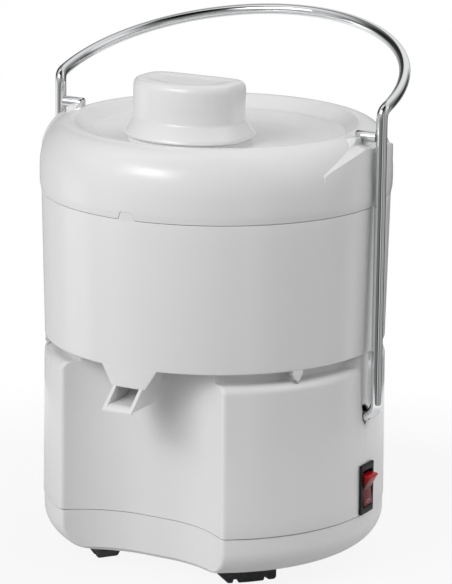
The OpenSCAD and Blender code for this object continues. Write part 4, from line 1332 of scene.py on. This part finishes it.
def build_room(scene):
    """Plain white to the camera, soft glows to matt surfaces, rings of cards to gloss and metal.

    The rings have dark gaps that give metal its lines. A direction's place round a ring is the
    angle of its x and y, and between two rings its z blends them. A glow fades smoothly with the
    cosine of the angle from its middle.
    """
    scene.world = bpy.data.worlds.new("studio")
    scene.world.use_nodes = True
    scene.world.node_tree.nodes.clear()
    f = Nodes(scene.world.node_tree)
    rays, out = f.node("LightPath"), f.node("OutputWorld")
    view = f.node("TexCoord").outputs["Generated"]
    x, y, z = f.node("SeparateXYZ", {0: view}).outputs
    angle = f.blend("Math", x, f.spread(y, 1.0, -1.0, -1.0, 1.0), operation="ARCTAN2")
    around = f.spread(angle, 0.0, 1.0, -math.pi, math.pi)
    cards = below = None
    for up, stops in RINGS:
        ring = f.ramp(around, [((turn + 180) / 360, (level,) * 3) for turn, level in stops])
        if cards:
            rise = f.spread(z, 0.0, 1.0, *(math.sin(math.radians(e)) for e in (below, up)))
            ring = f.blend("MixRGB", rise, cards, ring)
        cards, below = ring, up
    soft = None
    for azimuth, elevation, across, level in GLOWS:
        towards = f.node("VectorMath", {0: view}, operation="DOT_PRODUCT")
        towards.inputs[1].default_value = direction(azimuth, elevation)
        edge = math.cos(math.radians(across))
        glow = f.spread(towards.outputs["Value"], 0.0, level, edge, 1.0,
                        interpolation_type="SMOOTHSTEP")
        soft = f.blend("Math", soft, glow, operation="ADD") if soft else glow

    for_matt = f.node("Background", {"Strength": soft}).outputs[0]
    for_gloss = f.node("Background", {"Color": cards}).outputs[0]
    for_camera = f.node("Background", Color=(1, 1, 1, 1)).outputs[0]
    surface = f.blend("MixShader", seen_rays(f, rays), for_matt, for_gloss)
    surface = f.blend("MixShader", rays.outputs["Is Camera Ray"], surface, for_camera)
    f.tree.links.new(surface, out.inputs["Surface"])


def build_camera(scene):
    """The camera, turned by TURN and tipped by PITCH and ROLL towards the juicer."""
    data = bpy.data.cameras.new("camera")
    data.sensor_width = 36
    data.lens = FOCAL * data.sensor_width / VIEW[1]
    data.shift_x = (VIEW[0] / 2 - LENS_X) / VIEW[1]
    data.clip_end = 50
    camera = add("camera", data)
    right, back = Vector((math.cos(TURN), math.sin(TURN), 0)), direction(math.degrees(TURN), 0)
    ahead = -back * math.cos(PITCH) - Vector((0, 0, math.sin(PITCH)))
    up = right.cross(ahead)
    cos, sin = math.cos(ROLL), math.sin(ROLL)
    right, up = right * cos + up * sin, up * cos - right * sin
    turn = Matrix((right, up, -ahead)).transposed().to_4x4()
    place = back * FAR * BODY_R * MM + Vector((0, 0, (SEAM_Z + HIGH * BODY_R) * MM))
    camera.matrix_world = Matrix.Translation(place) @ turn
    scene.camera = camera


class JUICER_OT_stage(Operator):
    """Floor, studio light and camera"""
    bl_idname = "juicer.stage"
    bl_label = "Stage"

    def execute(self, context):
        context.scene.view_settings.view_transform = "Standard"
        build_floor()
        build_room(context.scene)
        for lamp in LAMPS:
            build_lamp(*lamp)
        build_camera(context.scene)
        return {"FINISHED"}


class JUICER_PT_panel(Panel):
    """Lists the juicer's pieces and settings"""
    bl_idname = "JUICER_PT_panel"
    bl_label = "Juicer"
    bl_space_type = "VIEW_3D"
    bl_region_type = "UI"
    bl_category = "Juicer"

    def draw(self, context):
        layout = self.layout
        for name in ("body", "rubber", "trim", "rocker"):
            layout.prop(context.scene.juicer_colours, name)
        for name in ("pillar_round", "rod_sides", "edge_round"):
            layout.prop(context.scene.juicer_sizes, name)
        for operator in OPERATORS:
            layout.operator(operator.bl_idname)


OPERATORS = (JUICER_OT_stage, JUICER_OT_housing, JUICER_OT_cover, JUICER_OT_bowl, JUICER_OT_lid,
             JUICER_OT_pusher, JUICER_OT_bail, JUICER_OT_feet, JUICER_OT_switch, JUICER_OT_inlet,
             JUICER_OT_workings)
CLASSES = (JuicerColours, JuicerSizes, *OPERATORS, JUICER_PT_panel)


def register():
    for cls in CLASSES:
        bpy.utils.register_class(cls)
    bpy.types.Scene.juicer_colours = PointerProperty(type=JuicerColours)
    bpy.types.Scene.juicer_sizes = PointerProperty(type=JuicerSizes)


def unregister():
    del bpy.types.Scene.juicer_sizes
    del bpy.types.Scene.juicer_colours
    for cls in reversed(CLASSES):
        bpy.utils.unregister_class(cls)


def main():
    register()
    for operator in OPERATORS:
        getattr(bpy.ops.juicer, operator.bl_idname.split(".")[1])()


if __name__ == "__main__":
    main()
